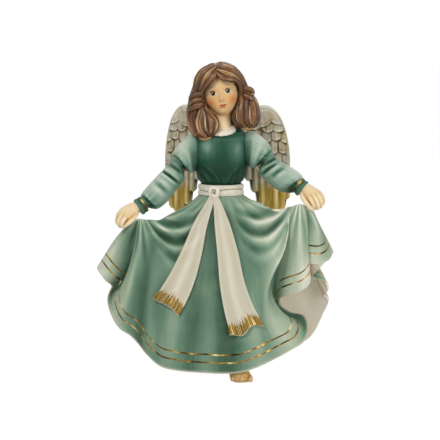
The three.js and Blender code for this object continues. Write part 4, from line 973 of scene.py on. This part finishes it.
CREASES = {  # folds round the arm in the upper and the lower sleeve: x, z points, depth, width
    "left": (
        [([(45, 203), (40, 195), (37, 189)], 0.8, 2.0), ([(38, 206), (34, 197), (31, 190)], 0.5, 2.0)],
        [([(36, 181), (43, 188), (51, 193)], 1.5, 1.3), ([(38, 189), (45, 194), (52, 197)], 1.1, 1.2),
         ([(44, 179), (50, 185), (57, 189)], 0.8, 1.6), ([(62, 169), (67, 174), (71, 178)], 0.7, 1.3)]),
    "right": (
        [([(-42, 199), (-37, 191), (-34, 186)], 0.8, 2.0), ([(-36, 203), (-31, 194), (-28, 187)], 0.5, 2.0)],
        [([(-54, 186), (-46, 181.5), (-37, 174)], 2.0, 1.1), ([(-48, 191), (-41, 188), (-34, 182)], 1.0, 1.4),
         ([(-60, 177), (-53, 172), (-46, 165)], 0.8, 2.0), ([(-71, 166), (-66, 160), (-60, 153)], 0.7, 1.3)]),
}
for side_name, arm in ARMS.items():
    for part, creases, gathers, tint in zip(("upper", "lower"), CREASES[side_name],
                                            ((1, 1, 0.32), (1, 1.2, 0.16)), (0.16, 0.15)):
        node = f"{side_name}_{part}_sleeve"
        sleeve_piece(f"{node}_puff", node, arm[part], creases, gathers, tint)
    cuff_piece(f"{side_name}_gilt_cuff", f"{side_name}_cuff", arm["wrist"], arm["knuckles"])
    hand_piece(f"{side_name}_painted_hand", f"{side_name}_hand", *HANDS[side_name])


# Legs

def leg_piece(name, node, hip, heel, toe):
    heel, toe = np.array(heel, float), np.array(toe, float)
    forward = unit(toe - heel)
    across = np.array([forward[1], -forward[0]])
    knee = (np.array(hip) + heel) / 2

    def ahead(distance):
        return heel + forward * (distance - 5)

    shin = limb([(*hip, 156, 8.4, 8.4), (*knee, 84, 8.4, 8.4), (*heel, 22, 5.8, 6), (*heel, 13, 5.6, 6),
                 (*heel, 4, 5.4, 6)], 60, 32)
    foot = limb([(*ahead(0), 3.6, 4, 3.8), (*ahead(4), 5.6, 6, 6.2), (*ahead(16), 5.8, 6.6, 6.4),
                 (*ahead(31), 4.2, 9.6, 5), (*ahead(41), 3.4, 9.2, 4.2)], 40, 36, facing=(0, 0, 1))
    parts = [shin, foot]
    for i in range(5):
        big = i == (0 if hip[0] > 0 else 4)
        size = 2.5 if big else 2.0
        place = ahead(37) + across * (2 * i - 4) * 1.95
        tip = ahead(44.6 if big else 43.4 - 0.5 * abs(i - 2)) + across * (2 * i - 4) * 1.98
        joint = (place + tip) / 2
        parts.append(limb([(*place, 3.4, size, size * 1.1), (*joint, 4.2, size * 0.96, size * 1.05),
                           (*tip, 2.9, size, size * 1.05)], 14, 18, facing=(0, 0, 1)))
    leg = melted(name, [close_up(piece_of("part", domed(part))) for part in parts], 0.5, 5)
    places = places_of(leg)
    places[:, 2] = np.maximum(places[:, 2], 0.02)
    put(leg, places)
    wash_and_shade(leg, 2.5, 0.7)
    # painted light: the foot is paler near the floor, against the skirt's shadow
    paint_field(leg, "painted_light_and_tint", -0.1 * ease(-places[:, 2], -40, -8))
    done(leg, "skin", [node], lit_foot_paint)


leg_piece("left_painted_leg", "left_leg", (9, 0), (15, -8), (18.5, -52))
leg_piece("right_painted_leg", "right_leg", (-9, 1), (-11, 46), (-15, 2))


# Head

roll_cos, roll_sin = math.cos(HEAD_ROLL), math.sin(HEAD_ROLL)
roll = np.array([[roll_cos, 0, -roll_sin], [0, 1, 0], [roll_sin, 0, roll_cos]])


def from_head(points):
    """From the head's own frame, about its middle and upright, to the figure's."""
    return np.asarray(points, float) @ roll.T + HEAD_CENTRE


def line_mark(x, z, points, widths, soft=0.12):
    """A brush line through x, z points that swells to the given half widths."""
    share = spaced(60)
    line = curve(points, share)
    half = np.interp(share, spaced(len(widths)), widths)
    apart = np.hypot(x[:, None] - line[None, :, 0], z[:, None] - line[None, :, 1]) - half[None]
    return 1 - ease(apart.min(1), -soft, soft)


def oval_mark(x, z, centre, half, soft=0.15):
    apart = np.hypot((x - centre[0]) / half[0], (z - centre[1]) / half[1])
    return 1 - ease(apart, 1 - soft, 1 + soft)


EYE_X, EYE_Z, MOUTH_Z = 6.6, -1.6, -13.4


def eye_marks(x, z):
    """An eye with its brow and nostril, for x that runs outwards: amounts and tints, and where it shines."""
    def oval(half, soft, up=0.1):
        return oval_mark(x, z, (EYE_X, EYE_Z + up), half, soft)

    def line(points, widths, soft=0.12):
        return line_mark(x, z, np.add(points, (EYE_X, EYE_Z)), widths, soft)

    white = oval((3.0, 1.7), 0.1, 0)
    lash = line([(-3, 0.1), (-1.2, 1.75), (0.8, 2.0), (3.2, 0.5)], (0.14, 0.34, 0.42, 0.2))
    under = line([(-2.2, -1.2), (0, -1.85), (2.4, -1.1)], (0.05, 0.14, 0.08))
    brow = line([(-3.4, 4.4), (-0.6, 5.5), (2.4, 5.0), (3.9, 3.7)], (0.16, 0.34, 0.3, 0.1), 0.2)
    marks = [
        (0.5 * bell((x - EYE_X) / 4) * bell((z - EYE_Z - 2.6) / 1.2), "#c4905a"),
        (white, "#e9dcc2"),
        (oval((2.0, 1.9), 0.1) * np.maximum(white, 0.6), "#3c2210"),
        (oval((1.35, 1.4), 0.12), "#0e0704"),
        (lash, "#2a160c"),
        (0.6 * under, "#7a4a26"),
        (0.6 * brow, "#94683c"),
        (0.6 * oval_mark(x, z, (1.25, -9.2), (0.62, 0.42), 0.4), "#8a4a22"),
    ]
    return marks, np.maximum(white, lash)


def face_marks(x, z):
    """What is painted on the face, in the order of painting: amounts and tints, and where it shines."""
    wide, mouth = np.abs(x), z - MOUTH_Z
    marks = [
        (0.4 * bell(x / 9) * bell((z - 7) / 7), "#e2c292"),
        (0.75 * bell((wide - 9.6) / 4.4) * bell((z + 9.4) / 4), "#da8238"),
        (0.25 * bell(x / 3) * bell((z + 7.6) / 2.4), "#dd9858"),
    ]
    gloss = 0
    for side in (-1, 1):
        eye, shine = eye_marks(x * side, z)
        marks += eye
        gloss = np.maximum(gloss, shine)
    # a painted highlight in each eye
    for side in (-1, 1):
        marks.append((oval_mark(x, z, (side * EYE_X - 0.6, EYE_Z + 0.75), (0.4, 0.42), 0.2), "#fbf6ea"))
    bow = 1.45 - 0.5 * bell(x / 0.9) + 0.28 * bell((wide - 1.2) / 0.8) - 0.35 * (wide / 3.4) ** 2 * 3.4
    upper = (1 - ease(mouth, bow - 0.15, bow + 0.15)) * ease(mouth, -0.2, 0.05)
    upper = upper * (1 - ease(wide, 3.0, 3.4))
    bottom = -1.95 * np.sqrt(np.maximum(0, 1 - (x / 3.1) ** 2))
    lower = ease(mouth, bottom - 0.15, bottom + 0.15) * (1 - ease(mouth, -0.05, 0.2))
    lower = lower * (1 - ease(wide, 2.8, 3.2))
    seam = line_mark(x, mouth, [(-3.3, 0.25), (-1.2, -0.05), (0, 0.1), (1.2, -0.05), (3.3, 0.25)],
                     (0.06, 0.16, 0.2, 0.16, 0.06))
    marks += [(0.85 * upper, "#b84a24"), (0.85 * lower, "#d2683a"), (0.8 * seam, "#6e2f18")]
    return marks, np.maximum(gloss, 0.7 * np.maximum(upper, lower))


def head_piece():
    """A calm doll's face on plain proportions: the eyes halfway down, painted and not carved deep."""
    bpy.ops.mesh.primitive_uv_sphere_add(segments=288, ring_count=220, radius=1)
    head = bpy.context.object
    head.name = head.data.name = "painted_head"
    ball = vertex_values(head, "co")
    turn = np.arctan2(ball[:, 0], -ball[:, 1])
    turn = turn - 0.5 * np.sin(turn)  # more columns in front, where the features are
    level = np.hypot(ball[:, 0], ball[:, 1])
    across, depth, up = np.sin(turn) * level, -np.cos(turn) * level, ball[:, 2]
    jaw = np.maximum(0, -up) ** 2
    x = across * 16.6 * (1 - 0.2 * jaw)
    z = up * np.where(up < 0, 23.4, 21.6)
    y = depth * np.where(depth < 0, 16.5, 18) - 3 * jaw
    front = ease(-depth, 0.15, 0.5)
    wide, mouth = np.abs(x), z - MOUTH_Z
    from_eye = wide - EYE_X, z - EYE_Z
    # nose and its wings
    proud = 2.4 * bell(x / 2.1) * bell((z + 7.4) / 2.3)
    proud += 1.1 * bell(x / 1.6) * ease(z, -8, -4) * (1 - ease(z, -3, 2))
    proud += 0.7 * bell((wide - 1.9) / 1.2) * bell((z + 8) / 1.4)
    # eye hollows, lids, brows and cheeks
    proud += -1.1 * bell(np.hypot(from_eye[0] / 4.6, from_eye[1] / 3.2))
    proud += 0.75 * bell(np.hypot(from_eye[0] / 2.5, from_eye[1] / 1.7))
    proud += 0.5 * bell((wide - 6) / 5) * bell((z - 3.4) / 2)
    proud += 1.5 * bell((wide - 8.4) / 4.8) * bell((z + 10) / 4.8)
    # lips, the line between them, chin, and the groove under the nose
    proud += 0.9 * bell(x / 2.6) * bell(mouth - 1) + 1.05 * bell(x / 2.3) * bell((mouth + 1.2) / 1.1)
    proud += -0.55 * bell(x / 3) * bell(mouth / 0.4) + 1.1 * bell(x / 4) * bell((z + 19.6) / 2.6)
    proud += -0.35 * bell(x / 0.7) * bell(z + 10.8)
    put(head, from_head(np.stack([x, y - proud * front, z], 1)))
    marks, gloss = face_marks(x, z)
    # painted shadow under the jaw
    skin, jaw_shadow = (np.array(linear(tint)[:3]) for tint in ("#dcb684", "#b98446"))
    colour = skin + (jaw_shadow - skin) * 0.5 * ease(-z, 17, 23)[:, None]
    for amount, tint in marks:
        colour += (np.array(linear(tint)[:3]) - colour) * (np.clip(amount, 0, 1) * front)[:, None]
    layer = head.data.attributes.new("features", "FLOAT_COLOR", "POINT")
    layer.data.foreach_set("color", np.insert(colour, 3, 1, axis=1).astype(np.float32).ravel())
    paint_field(head, "gloss", gloss * front)
    done(smoothed(head), "skin", ["head"], face_paint)


head_piece()


# Hair

def wandering(place, along, seed):
    return place + 0.28 * np.sin(0.9 * place + seed) + 0.22 * np.sin(2.4 * along + 1.7 * place + seed)


def strand_wave(place, along, seed):
    """Rounded strands with sharp grooves: about one strand for each unit of place."""
    bend = wandering(place, along, seed)
    thick = np.sqrt(np.abs(np.sin(math.pi * bend)) + 1e-4)
    fine = np.sqrt(np.abs(np.sin(3 * math.pi * bend + 0.6 * np.sin(3 * along))) + 1e-4)
    return 0.74 * thick + 0.26 * fine - 0.6


def streaks(place, along, seed, start):
    """Cream brush streaks on some strands, from a share of their length to near the end, which serve partly
    as painted highlights.
    """
    bend = wandering(place, along, seed)
    chosen = (np.sin(np.floor(bend) * 12.9898 + seed * 7.1) * 43758.5) % 1  # scattered evenly from 0 to 1
    narrow = bell((bend % 1 - 0.35 - 0.3 * chosen) / 0.12)
    return 0.75 * narrow * (chosen > 0.55) * ease(along, start, start + 0.2) * (1 - ease(along, 0.82, 0.97))


CROWN_CENTRE = np.array([0.5, 1.5, 5.6])
CROWN_HALF = np.array([20.2, 21.2, 18.6])
CROWN_GUIDES = {  # lines that the hair is combed along, in the head's own frame, from front to back
    1: [
        [(1.5, -20, 14.5), (6, -20, 11.9), (11, -18, 10), (15.8, -14, 6.5), (17.8, -10.5, -3),
         (18.4, -9, -9)],
        [(1.5, -14, 22), (8, -15, 19), (14, -12, 15), (19, -8, 8), (21, -5, -1), (21, -4, -9)],
        [(1.2, -4, 25), (9, -5, 23), (16, -4, 18), (21, -1, 9), (22, 1, 0), (21.5, 2, -9)],
        [(0.8, 8, 24), (8, 9, 21), (14, 11, 16), (18, 13, 8), (19, 14, 0), (18.5, 14, -9)],
        [(0.5, 18, 17), (4, 20, 14), (7.5, 21.5, 9), (10, 22, 3), (10.5, 22, -3), (10, 22, -9)],
        [(0.2, 21, 12), (0.2, 22, 9), (0.2, 23, 5), (0.2, 23.4, 0), (0.2, 23.4, -5), (0.2, 23, -9)],
    ],
    -1: [
        [(1.3, -20, 14.5), (-4, -20, 12), (-9, -18.5, 9.4), (-13.8, -15, 5), (-16.8, -10.5, -3),
         (-17.4, -9, -9)],
        [(1.3, -14, 22), (-7, -15, 19), (-13, -12, 15), (-18, -8, 8), (-20, -5, -1), (-20, -4, -9)],
        [(1.0, -4, 25), (-8, -5, 23), (-15, -4, 18), (-20, -1, 9), (-21, 1, 0), (-20.5, 2, -9)],
        [(0.6, 8, 24), (-7, 9, 21), (-13, 11, 16), (-17, 13, 8), (-18, 14, 0), (-17.5, 14, -9)],
        [(0.3, 18, 17), (-3.5, 20, 14), (-7, 21.5, 9), (-9.5, 22, 3), (-10, 22, -3), (-9.5, 22, -9)],
        [(0.2, 21, 12), (0.2, 22, 9), (0.2, 23, 5), (0.2, 23.4, 0), (0.2, 23.4, -5), (0.2, 23, -9)],
    ],
}
CLUMPS = [  # strands of hair combed from the parting, the outer ones first: x, y, z and half width
    [(-6.2, -9, 279, 1), (-15.8, -11.5, 273.6, 2.6), (-20.7, -11, 266.6, 2.8), (-22.3, -10.5, 259.4, 2.8),
     (-25.1, -12, 252, 2.6), (-26.7, -12.8, 244.9, 2.6), (-28.1, -13.4, 237.8, 2.6),
     (-28.3, -13.4, 230.5, 2.6), (-26, -14.5, 222.6, 2.4), (-22, -14.5, 216.4, 1.2)],
    [(-5.4, -13, 278, 1), (-13.3, -18.4, 273, 2.4), (-17.6, -18, 266, 2.8), (-19.9, -14.6, 257.6, 2.8),
     (-22, -14, 250.5, 2.6), (-23, -15.4, 244.3, 2.6), (-24.2, -17, 237.2, 2.6), (-24.6, -17.4, 230.8, 2.7),
     (-22.4, -17.6, 222.8, 2.6), (-18.3, -15, 215.4, 1.4)],
    [(-5, -17.4, 276.8, 1), (-10.9, -21.2, 271.8, 2.2), (-14.9, -21.2, 264.7, 2.8), (-17, -17.8, 257.2, 2.6),
     (-18.2, -15.6, 249, 2.6), (-17.8, -16.6, 241.9, 2.6), (-18.6, -19, 235.7, 2.8), (-20.2, -20, 229.4, 2.9),
     (-18.6, -19.6, 222.1, 2.8), (-13.4, -16, 215, 1.5)],
    [(-4.2, -20.8, 274, 1.6), (-6.4, -23, 269.8, 2.9), (-10.4, -23.2, 265, 3), (-14, -21.2, 260.4, 2.7),
     (-16.8, -17.6, 254.6, 2.3), (-17.2, -15.6, 248.1, 2.2), (-16.6, -16.6, 241.1, 2.4),
     (-15, -19, 234.9, 2.8), (-14.8, -20.6, 228.6, 3), (-14, -20, 223, 2.8), (-9.4, -15.4, 216.2, 1.5)],
    [(-15.4, -13, 251, 1.2), (-15.2, -14, 244.9, 2), (-12.8, -16.4, 238.8, 2.6), (-8.8, -17.4, 234.4, 2.8),
     (-5.4, -16.4, 230.3, 2.8), (-4.2, -14.6, 224.9, 2.6), (-6, -13.6, 218.6, 1.4)],
    [(-15.6, -15.6, 254.6, 1.4), (-18.6, -18.4, 254, 2.4), (-22.4, -19, 252.8, 2.6), (-26, -16.6, 250.6, 2.3),
     (-27.6, -13, 247.6, 1.4)],
    [(-15.4, -15.6, 249.6, 1.4), (-18.6, -18.8, 249.2, 2.4), (-22.6, -19.6, 247.8, 2.7),
     (-26.4, -17.2, 245.4, 2.4), (-28, -13.4, 242.6, 1.4)],
    [(-14.6, -16, 244.4, 1.4), (-18, -19.4, 244.4, 2.4), (-22, -20.6, 242.8, 2.7), (-26, -18.4, 240.2, 2.4),
     (-28, -14.4, 237.6, 1.4)],
    [(-3.6, -22.4, 272.4, 1.4), (1.6, -24.6, 268.4, 2.6), (7.4, -23.4, 267.2, 2.7), (13, -19.4, 265.8, 2.4),
     (17, -14.6, 260.4, 2.2), (17.8, -11.6, 252.6, 2.2), (17.2, -11.4, 246.2, 2.3), (15, -12.4, 239.9, 2.5),
     (13.6, -13.6, 234.3, 2.7), (14.6, -13.8, 228.8, 2.6), (19, -12.2, 224.4, 1.4)],
    [(-3.4, -20.4, 275.4, 1), (2.6, -22.8, 272.9, 2.2), (9, -21.6, 270.3, 2.6), (14.4, -17, 266, 2.6),
     (18, -11.8, 258.3, 2.5), (18.8, -11.8, 251.2, 2.4), (18.6, -13.4, 244.1, 2.6), (17.4, -15.4, 237.1, 2.7),
     (17.8, -15.6, 230.6, 2.7), (22, -13, 224.2, 1.4)],
    [(-3.4, -17, 277.6, 1), (3.4, -19.4, 276, 2.2), (10.6, -18.6, 273, 2.7), (16.2, -14.8, 266.8, 2.8),
     (19.9, -10.8, 259.1, 2.6), (21.9, -12, 252.1, 2.5), (22.6, -14, 245, 2.6), (22, -16.2, 237.1, 2.8),
     (22.6, -16.6, 229.9, 2.7), (26, -12.4, 223.6, 1.4)],
    [(-3, -10.4, 279, 1), (3.4, -12.6, 278.4, 2), (10.6, -13.6, 275, 2.7), (16.5, -11.4, 268.9, 2.8),
     (20.4, -8.6, 261.4, 2.6), (23.5, -11, 254.5, 2.5), (26.4, -12.2, 248.1, 2.6), (28.4, -13.4, 241.7, 2.7),
     (29, -14.4, 234.6, 2.7), (28.6, -13.6, 228.1, 2.4), (28.4, -11, 223.8, 1.3)],
    [(22.5, -11, 254, 1.2), (27.4, -11.8, 247.4, 2.2), (31, -11.4, 240.6, 2.5), (32.2, -11.6, 233.6, 2.5),
     (31.2, -10.4, 227.4, 2.1), (28.6, -8.6, 223.2, 1.2)],
    [(17.6, -10.6, 259.4, 1.4), (22, -13.4, 258.2, 2.2), (26.4, -13.4, 256.8, 2.2), (28, -12.4, 253.8, 1.7),
     (25, -13.4, 252, 1)],
    [(18.6, -12, 253.4, 1.4), (21.6, -15, 251.8, 2.3), (25, -15.6, 250.2, 2.2), (27.4, -14.2, 247.6, 1.3)],
]


def crown_half(side):
    """Hair combed from the parting down one side of the head."""
    share = spaced(91)
    lines = np.array([curve(guide, share) for guide in CROWN_GUIDES[side]])
    back = spaced(141)
    surface = np.stack([curve(lines[:, j], back) for j in range(len(share))])
    ray = (surface - CROWN_CENTRE) / CROWN_HALF
    size = np.linalg.norm(ray, axis=-1, keepdims=True)
    place, along = back[None] * 15, share[:, None]
    lift = 0.055 * strand_wave(place, along, 1.3 + side) * ease(along, 0.0, 0.08)
    lift = lift - 0.03 * bell(along / 0.1) + 0.02
    tuck = 1 - 0.3 * (1 - ease(back, 0, 0.035))[None] - 0.24 * ease(along, 0.9, 1)
    surface = CROWN_CENTRE + ray / size * CROWN_HALF * ((1 + lift) * tuck)[..., None]
    streak_and_highlight = 0.5 * streaks(place, along, 1.3 + side, 0.5)
    return piece_of("half", from_head(surface[:, ::-side]), {"streak_and_highlight": streak_and_highlight[:, ::-side]})


def clump_piece(stations, seed):
    """A flattened strand that lies on the hair below, grooved along its length."""
    stations = np.array([(x, y + 0.25 * half, z, half, 0.85 * half) for x, y, z, half in stations])
    rows, columns, end_rows = 60, 72, 3
    twist = 0.16 * math.sin(2.4 * seed)

    def place_of(angle, along):
        return 5 * (angle / TURN + twist * along)

    def wave(angle, along):
        return strand_wave(place_of(angle, along), 2 * along, seed)

    tube = limb(stations, rows, columns, swell=lambda angle, along: 0.15 * wave(angle, along))
    surface = domed(tube, end_rows, 0.6)
    angle, along = once_round(columns + 1)[None], over_ends(spaced(rows + 1)[:, None], end_rows)
    facing = -outward(surface)[..., 1]
    facing = facing * np.sign((facing * (surface[..., 1].mean() - surface[..., 1])).sum())
    # painted light: paler where the clump faces the front and towards the top of the head, over its grooves
    # and a tone of its own
    tone = 0.8 * wave(angle, along) + 0.8 * ease(facing, 0.1, 0.9) - 0.62 + 0.15 * math.sin(5.3 * seed)
    tone = tone + 0.34 * ease(surface[..., 2], 258, 272)
    # painted highlights: the cream marks show only where the clump faces the front
    streak_and_highlight = 1.1 * streaks(place_of(angle, along), along, seed, 0.62) * ease(facing, 0.3, 0.7)
    return close_up(piece_of("clump", surface, {"streak_and_highlight": streak_and_highlight, "wash_and_shade": np.clip(tone, -1, 1)}))


def hair_crown_piece():
    crown = close_up(together("combed_crown", [crown_half(1), crown_half(-1)]), recalculate=False)
    wash_and_shade(crown, 2.4, 0.5)
    clumps = [clump_piece(path, 1.7 * i + 0.5) for i, path in enumerate(CLUMPS)]
    crown = together("combed_crown", [filled_in(crown)] + clumps)
    done(crown, "chestnut", ["hair_crown"], hair_paint)


def lock_piece(name, nodes, stations, count, seed, twist):
    """A thick lock of a count of strands that wind round it by the twist, in turns."""
    def strand_at(angle, share):
        return count * (angle / TURN + twist * share), share * 1.6, seed

    tube = limb(stations, 110, 200, swell=lambda angle, share: 0.1 * strand_wave(*strand_at(angle, share)))
    surface = domed(tube, 4, 0.5)
    rows, columns = surface.shape[:2]
    streak_and_highlight = streaks(*strand_at(once_round(columns)[None], spaced(rows)[:, None]), 0.45)
    cast(name, surface, {"streak_and_highlight": streak_and_highlight}, 2.4, 0.55, "chestnut", nodes, hair_paint)


hair_crown_piece()
lock_piece("left_combed_lock", ["left_hair_lock"],
           [(17.4, -2, 262, 3, 5), (20.4, -2, 253, 6, 8), (23.4, -4, 243, 9.8, 9.6),
            (22.8, -6, 233.5, 12.4, 10.4), (23.6, -6, 227.5, 11.6, 9.4), (24.2, -6, 223.4, 6.5, 5)],
           15, 2.1, 0.06)
lock_piece("right_combed_lock", ["right_hair_lock"],
           [(-18, -3, 260, 4, 6), (-20.6, -4, 248.7, 7, 9), (-20.6, -7, 238, 9.8, 9.8),
            (-16.4, -10, 228.6, 13.6, 10), (-14.2, -10.5, 220.4, 12.4, 8.6), (-13.6, -10, 214.6, 6.2, 4.6)],
           15, 4.4, -0.08)
lock_piece("combed_back_hair", ["hair_back"],
           [(-1, 8, 268, 12, 7), (0, 13, 254, 20.5, 9), (0, 15.5, 238, 22.5, 8.6), (0, 17, 222, 20.5, 7),
            (0, 18, 209, 11, 4)],
           24, 3.3, 0.0)


# Wings

WING_SPAN, WING_FOOT = 62, -8.0  # from the root outwards, and the height where the plain edge starts
LONG_LENGTH, SHORT_LENGTH = 90, 13
WING_EDGE = [
    (0, WING_FOOT), (1, 6), (8, 22), (19, 36.5), (31, 43.5), (42, 42.5), (52, 32.5), (59, 14),
    (WING_SPAN, -8), (61.5, -32),
]
LONG_FEATHERS = [  # distance from the root, height of the tip, half width
    (7, -11, 4.2), (13.5, -17, 4.2), (20, -25, 4.2), (26.5, -36, 4.2), (33, -49, 4.4), (40, -56, 4.4),
    (47, -58, 4.4), (53.5, -54, 4.2), (58.6, -44, 3.4),
]
COVERT_ROWS = [  # short feathers: height of the tips at the root and at the outer side, number across
    (0, -25, 8), (6, -13, 7), (12, -1, 7), (18, 11, 6), (25, 22, 5), (31, 31, 3),
]


def wing_plane(side):
    angle = math.radians(35 - side * 10)
    out = np.array([side * math.cos(angle), math.sin(angle), 0])
    facing = np.array([side * math.sin(angle), -math.cos(angle), 0])
    root = np.array([side * 7, 19, 196.0])
    axes = np.array([out, (0, 0, 1), facing])
    return lambda points: root + points @ axes


def wing_relief(out, up, from_edge):
    """Feathers laid like tiles: their height, the wash and the brown dabs on their tips, the run of barbs."""
    height, wash, dabs, barb = np.zeros((4, *out.shape))
    feathers = [(place, tip, half, LONG_LENGTH, 1.5 * half, 0.5, 1) for place, tip, half in LONG_FEATHERS]
    for row, (inner, outer, count) in enumerate(COVERT_ROWS):
        half = 1.06 * WING_SPAN / 2 / count
        for i in range(count + 1):
            stray = math.sin(7.3 * row + 3.1 * i)
            place = (i + 0.5 * (row % 2)) * WING_SPAN / count + 0.8 * stray
            tip = inner + (outer - inner) * place / WING_SPAN - 0.5 * half
            tip += 1.5 * math.cos(5.1 * row + 2.3 * i)
            feathers.append((place, tip, half, SHORT_LENGTH, (0.75 + 0.2 * stray) * half, 1.0 + 0.35 * row,
                             0.5 + 0.4 * stray))
    for place, tip, half, length, roundness, proud, dabbed in feathers:
        across = np.clip((out - place) / half, -1, 1)
        from_tip = up - tip - roundness * (1 - np.sqrt(1 - across ** 2))
        inside = np.where(np.abs(across) < 1, np.minimum((1 - np.abs(across)) * half, from_tip), -9)
        share = np.clip(from_tip / length, 0, 1)
        shape = proud - 0.55 * share + 0.5 * (1 - across ** 2) + 0.22 * bell(across / 0.13) * (1 - share)
        cover = ease(inside, -0.1, 0.6)
        height += (np.maximum(height, shape) - height) * cover
        ragged = 4 * math.sin(2.7 * place) + 3 * across
        long = length == LONG_LENGTH
        wash += (long * (1 - ease(up, -38 + ragged, -27 + ragged)) - wash) * cover
        dabs += ((not long) * dabbed * ease(1 - share, 0.6, 0.95) - dabs) * cover
        barb = np.where(cover > 0.5, from_tip + np.abs(across) * half, barb)
    field = ease(from_edge, 2.2, 4.6)
    rim = 1.9 * (1 - field)
    return height * field + rim, wash * np.where(up < -24, 1, field), dabs * field, barb * field


def wing_piece(side_name, side):
    """A plate with a smooth rounded rim, with raised feathers on both faces."""
    put_on = wing_plane(side)
    edge = curve(WING_EDGE, spaced(400))
    widest = int(edge[:, 0].argmax())
    out = 0.3 + 61.6 * (1 - (1 - spaced(141)) ** 1.7)
    high = np.interp(out, edge[:widest, 0], edge[:widest, 1])
    low = np.full(out.shape, WING_FOOT)
    for place, tip, half in LONG_FEATHERS:
        across = np.clip((out - place) / (1.08 * half), -1, 1)
        rounded = tip + 1.5 * half * (1 - np.sqrt(1 - across ** 2))
        low = np.where(np.abs(across) < 1, np.minimum(low, rounded), low)
    rise = spaced(241)[:, None]
    out, up = out + 0 * rise, high + (low - high) * rise
    from_edge = [np.linalg.norm(row[:, None] - edge, axis=-1).min(-1) for row in np.stack([out, up], -1)]
    from_edge = np.minimum(from_edge, WING_SPAN - out)
    height, wash, dabs, barb = wing_relief(out, up, from_edge)
    # painted shade on the left wing and painted light on the right, to even out how the lamps light them; the
    # brown dabs on feather tips are paint
    fields = {"gilt": wash, "barb": barb, "painted_light_and_tint": (-0.06 if side > 0 else 0.02) - 0.4 * dabs}
    border = np.clip(np.minimum(from_edge, up - low) / 1.8, 0, 1)
    border[[0, -1]] = border[:, [0, -1]] = 0
    thick = np.sqrt(1 - (1 - border) ** 2) * (1.2 + height)
    faces = [piece_of("face", put_on(np.stack([out, up, face * thick], -1)), fields) for face in (1, -1)]
    wing = close_up(together(f"{side_name}_feathered_wing", faces))
    wash_and_shade(wing, 2, 0.3)
    done(wing, "feather", [f"{side_name}_wing"], feather_paint)


wing_piece("left", 1)
wing_piece("right", -1)


# Studio

SENSOR = 36
FOCAL_SHARE = 1667 / 440  # focal length in widths of the picture
LIT_PLACE = (0, 0, 0.15)


def aimed(place, target):
    return (Vector(target) - Vector(place)).to_track_quat("-Z", "Y").to_euler()


def camera_at(target, distance, height_angle):
    eye = Vector(target) + distance * Vector((0, -math.cos(height_angle), math.sin(height_angle)))
    bpy.ops.object.camera_add(location=eye, rotation=aimed(eye, target))
    camera = bpy.context.object
    camera.data.sensor_width = SENSOR
    camera.data.lens = SENSOR * FOCAL_SHARE
    bpy.context.scene.camera = camera


def soft_light(name, place, size, watts):
    bpy.ops.object.light_add(type="AREA", location=place, rotation=aimed(place, LIT_PLACE))
    light = bpy.context.object
    light.name = name
    light.data.shape = "DISK"
    light.data.size = size
    light.data.energy = watts


def rays_that_see(tree_owner):
    """One for rays from the camera and those that glaze or gold sends on, zero for those that only light."""
    ray = add(tree_owner, "ShaderNodeLightPath").outputs
    mirrored = reckon(tree_owner, "MAXIMUM", ray["Is Glossy Ray"], ray["Is Transmission Ray"])
    return reckon(tree_owner, "MAXIMUM", ray["Is Camera Ray"], mirrored)


def studio():
    centre = (WAIST_MIDDLE + (-0.9, 0, 139)) * MM
    camera_at(centre, 1.5, math.radians(8))
    soft_light("key_softbox", (-0.55, -1.1, 1.25), 0.6, 12)
    soft_light("fill_softbox", (1.0, -0.95, 0.35), 0.8, 6.5)
    soft_light("rear_softbox", (0.2, 1.1, 1.0), 0.7, 4)
    world = bpy.context.scene.world or bpy.data.worlds.new("studio")
    bpy.context.scene.world = world
    world.use_nodes = True
    world.node_tree.nodes.clear()
    strength = scaled(world, rays_that_see(world), 0.72, 0.28)
    sky = add(world, "ShaderNodeBackground", {"Color": linear("#ffffff"), "Strength": strength})
    add(world, "ShaderNodeOutputWorld", {"Surface": sky.outputs[0]})
    bpy.ops.mesh.primitive_plane_add(size=12, location=(0, 0, -0.0004))
    floor = bpy.context.object
    floor.name = "studio_floor"
    board = new_finish("white_paper_floor")
    paper = add(board, "ShaderNodeBsdfDiffuse", {"Color": linear("#f6f6f4")})
    glow = add(board, "ShaderNodeEmission", {"Color": linear("#ffffff"), "Strength": 1.1})
    share = scaled(board, rays_that_see(board), 0.88)
    mixed = add(board, "ShaderNodeMixShader", {0: share, 1: paper.outputs[0], 2: glow.outputs[0]})
    add(board, "ShaderNodeOutputMaterial", {"Surface": mixed.outputs[0]})
    floor.data.materials.append(board)
    bpy.context.scene.view_settings.view_transform = "Standard"


studio()
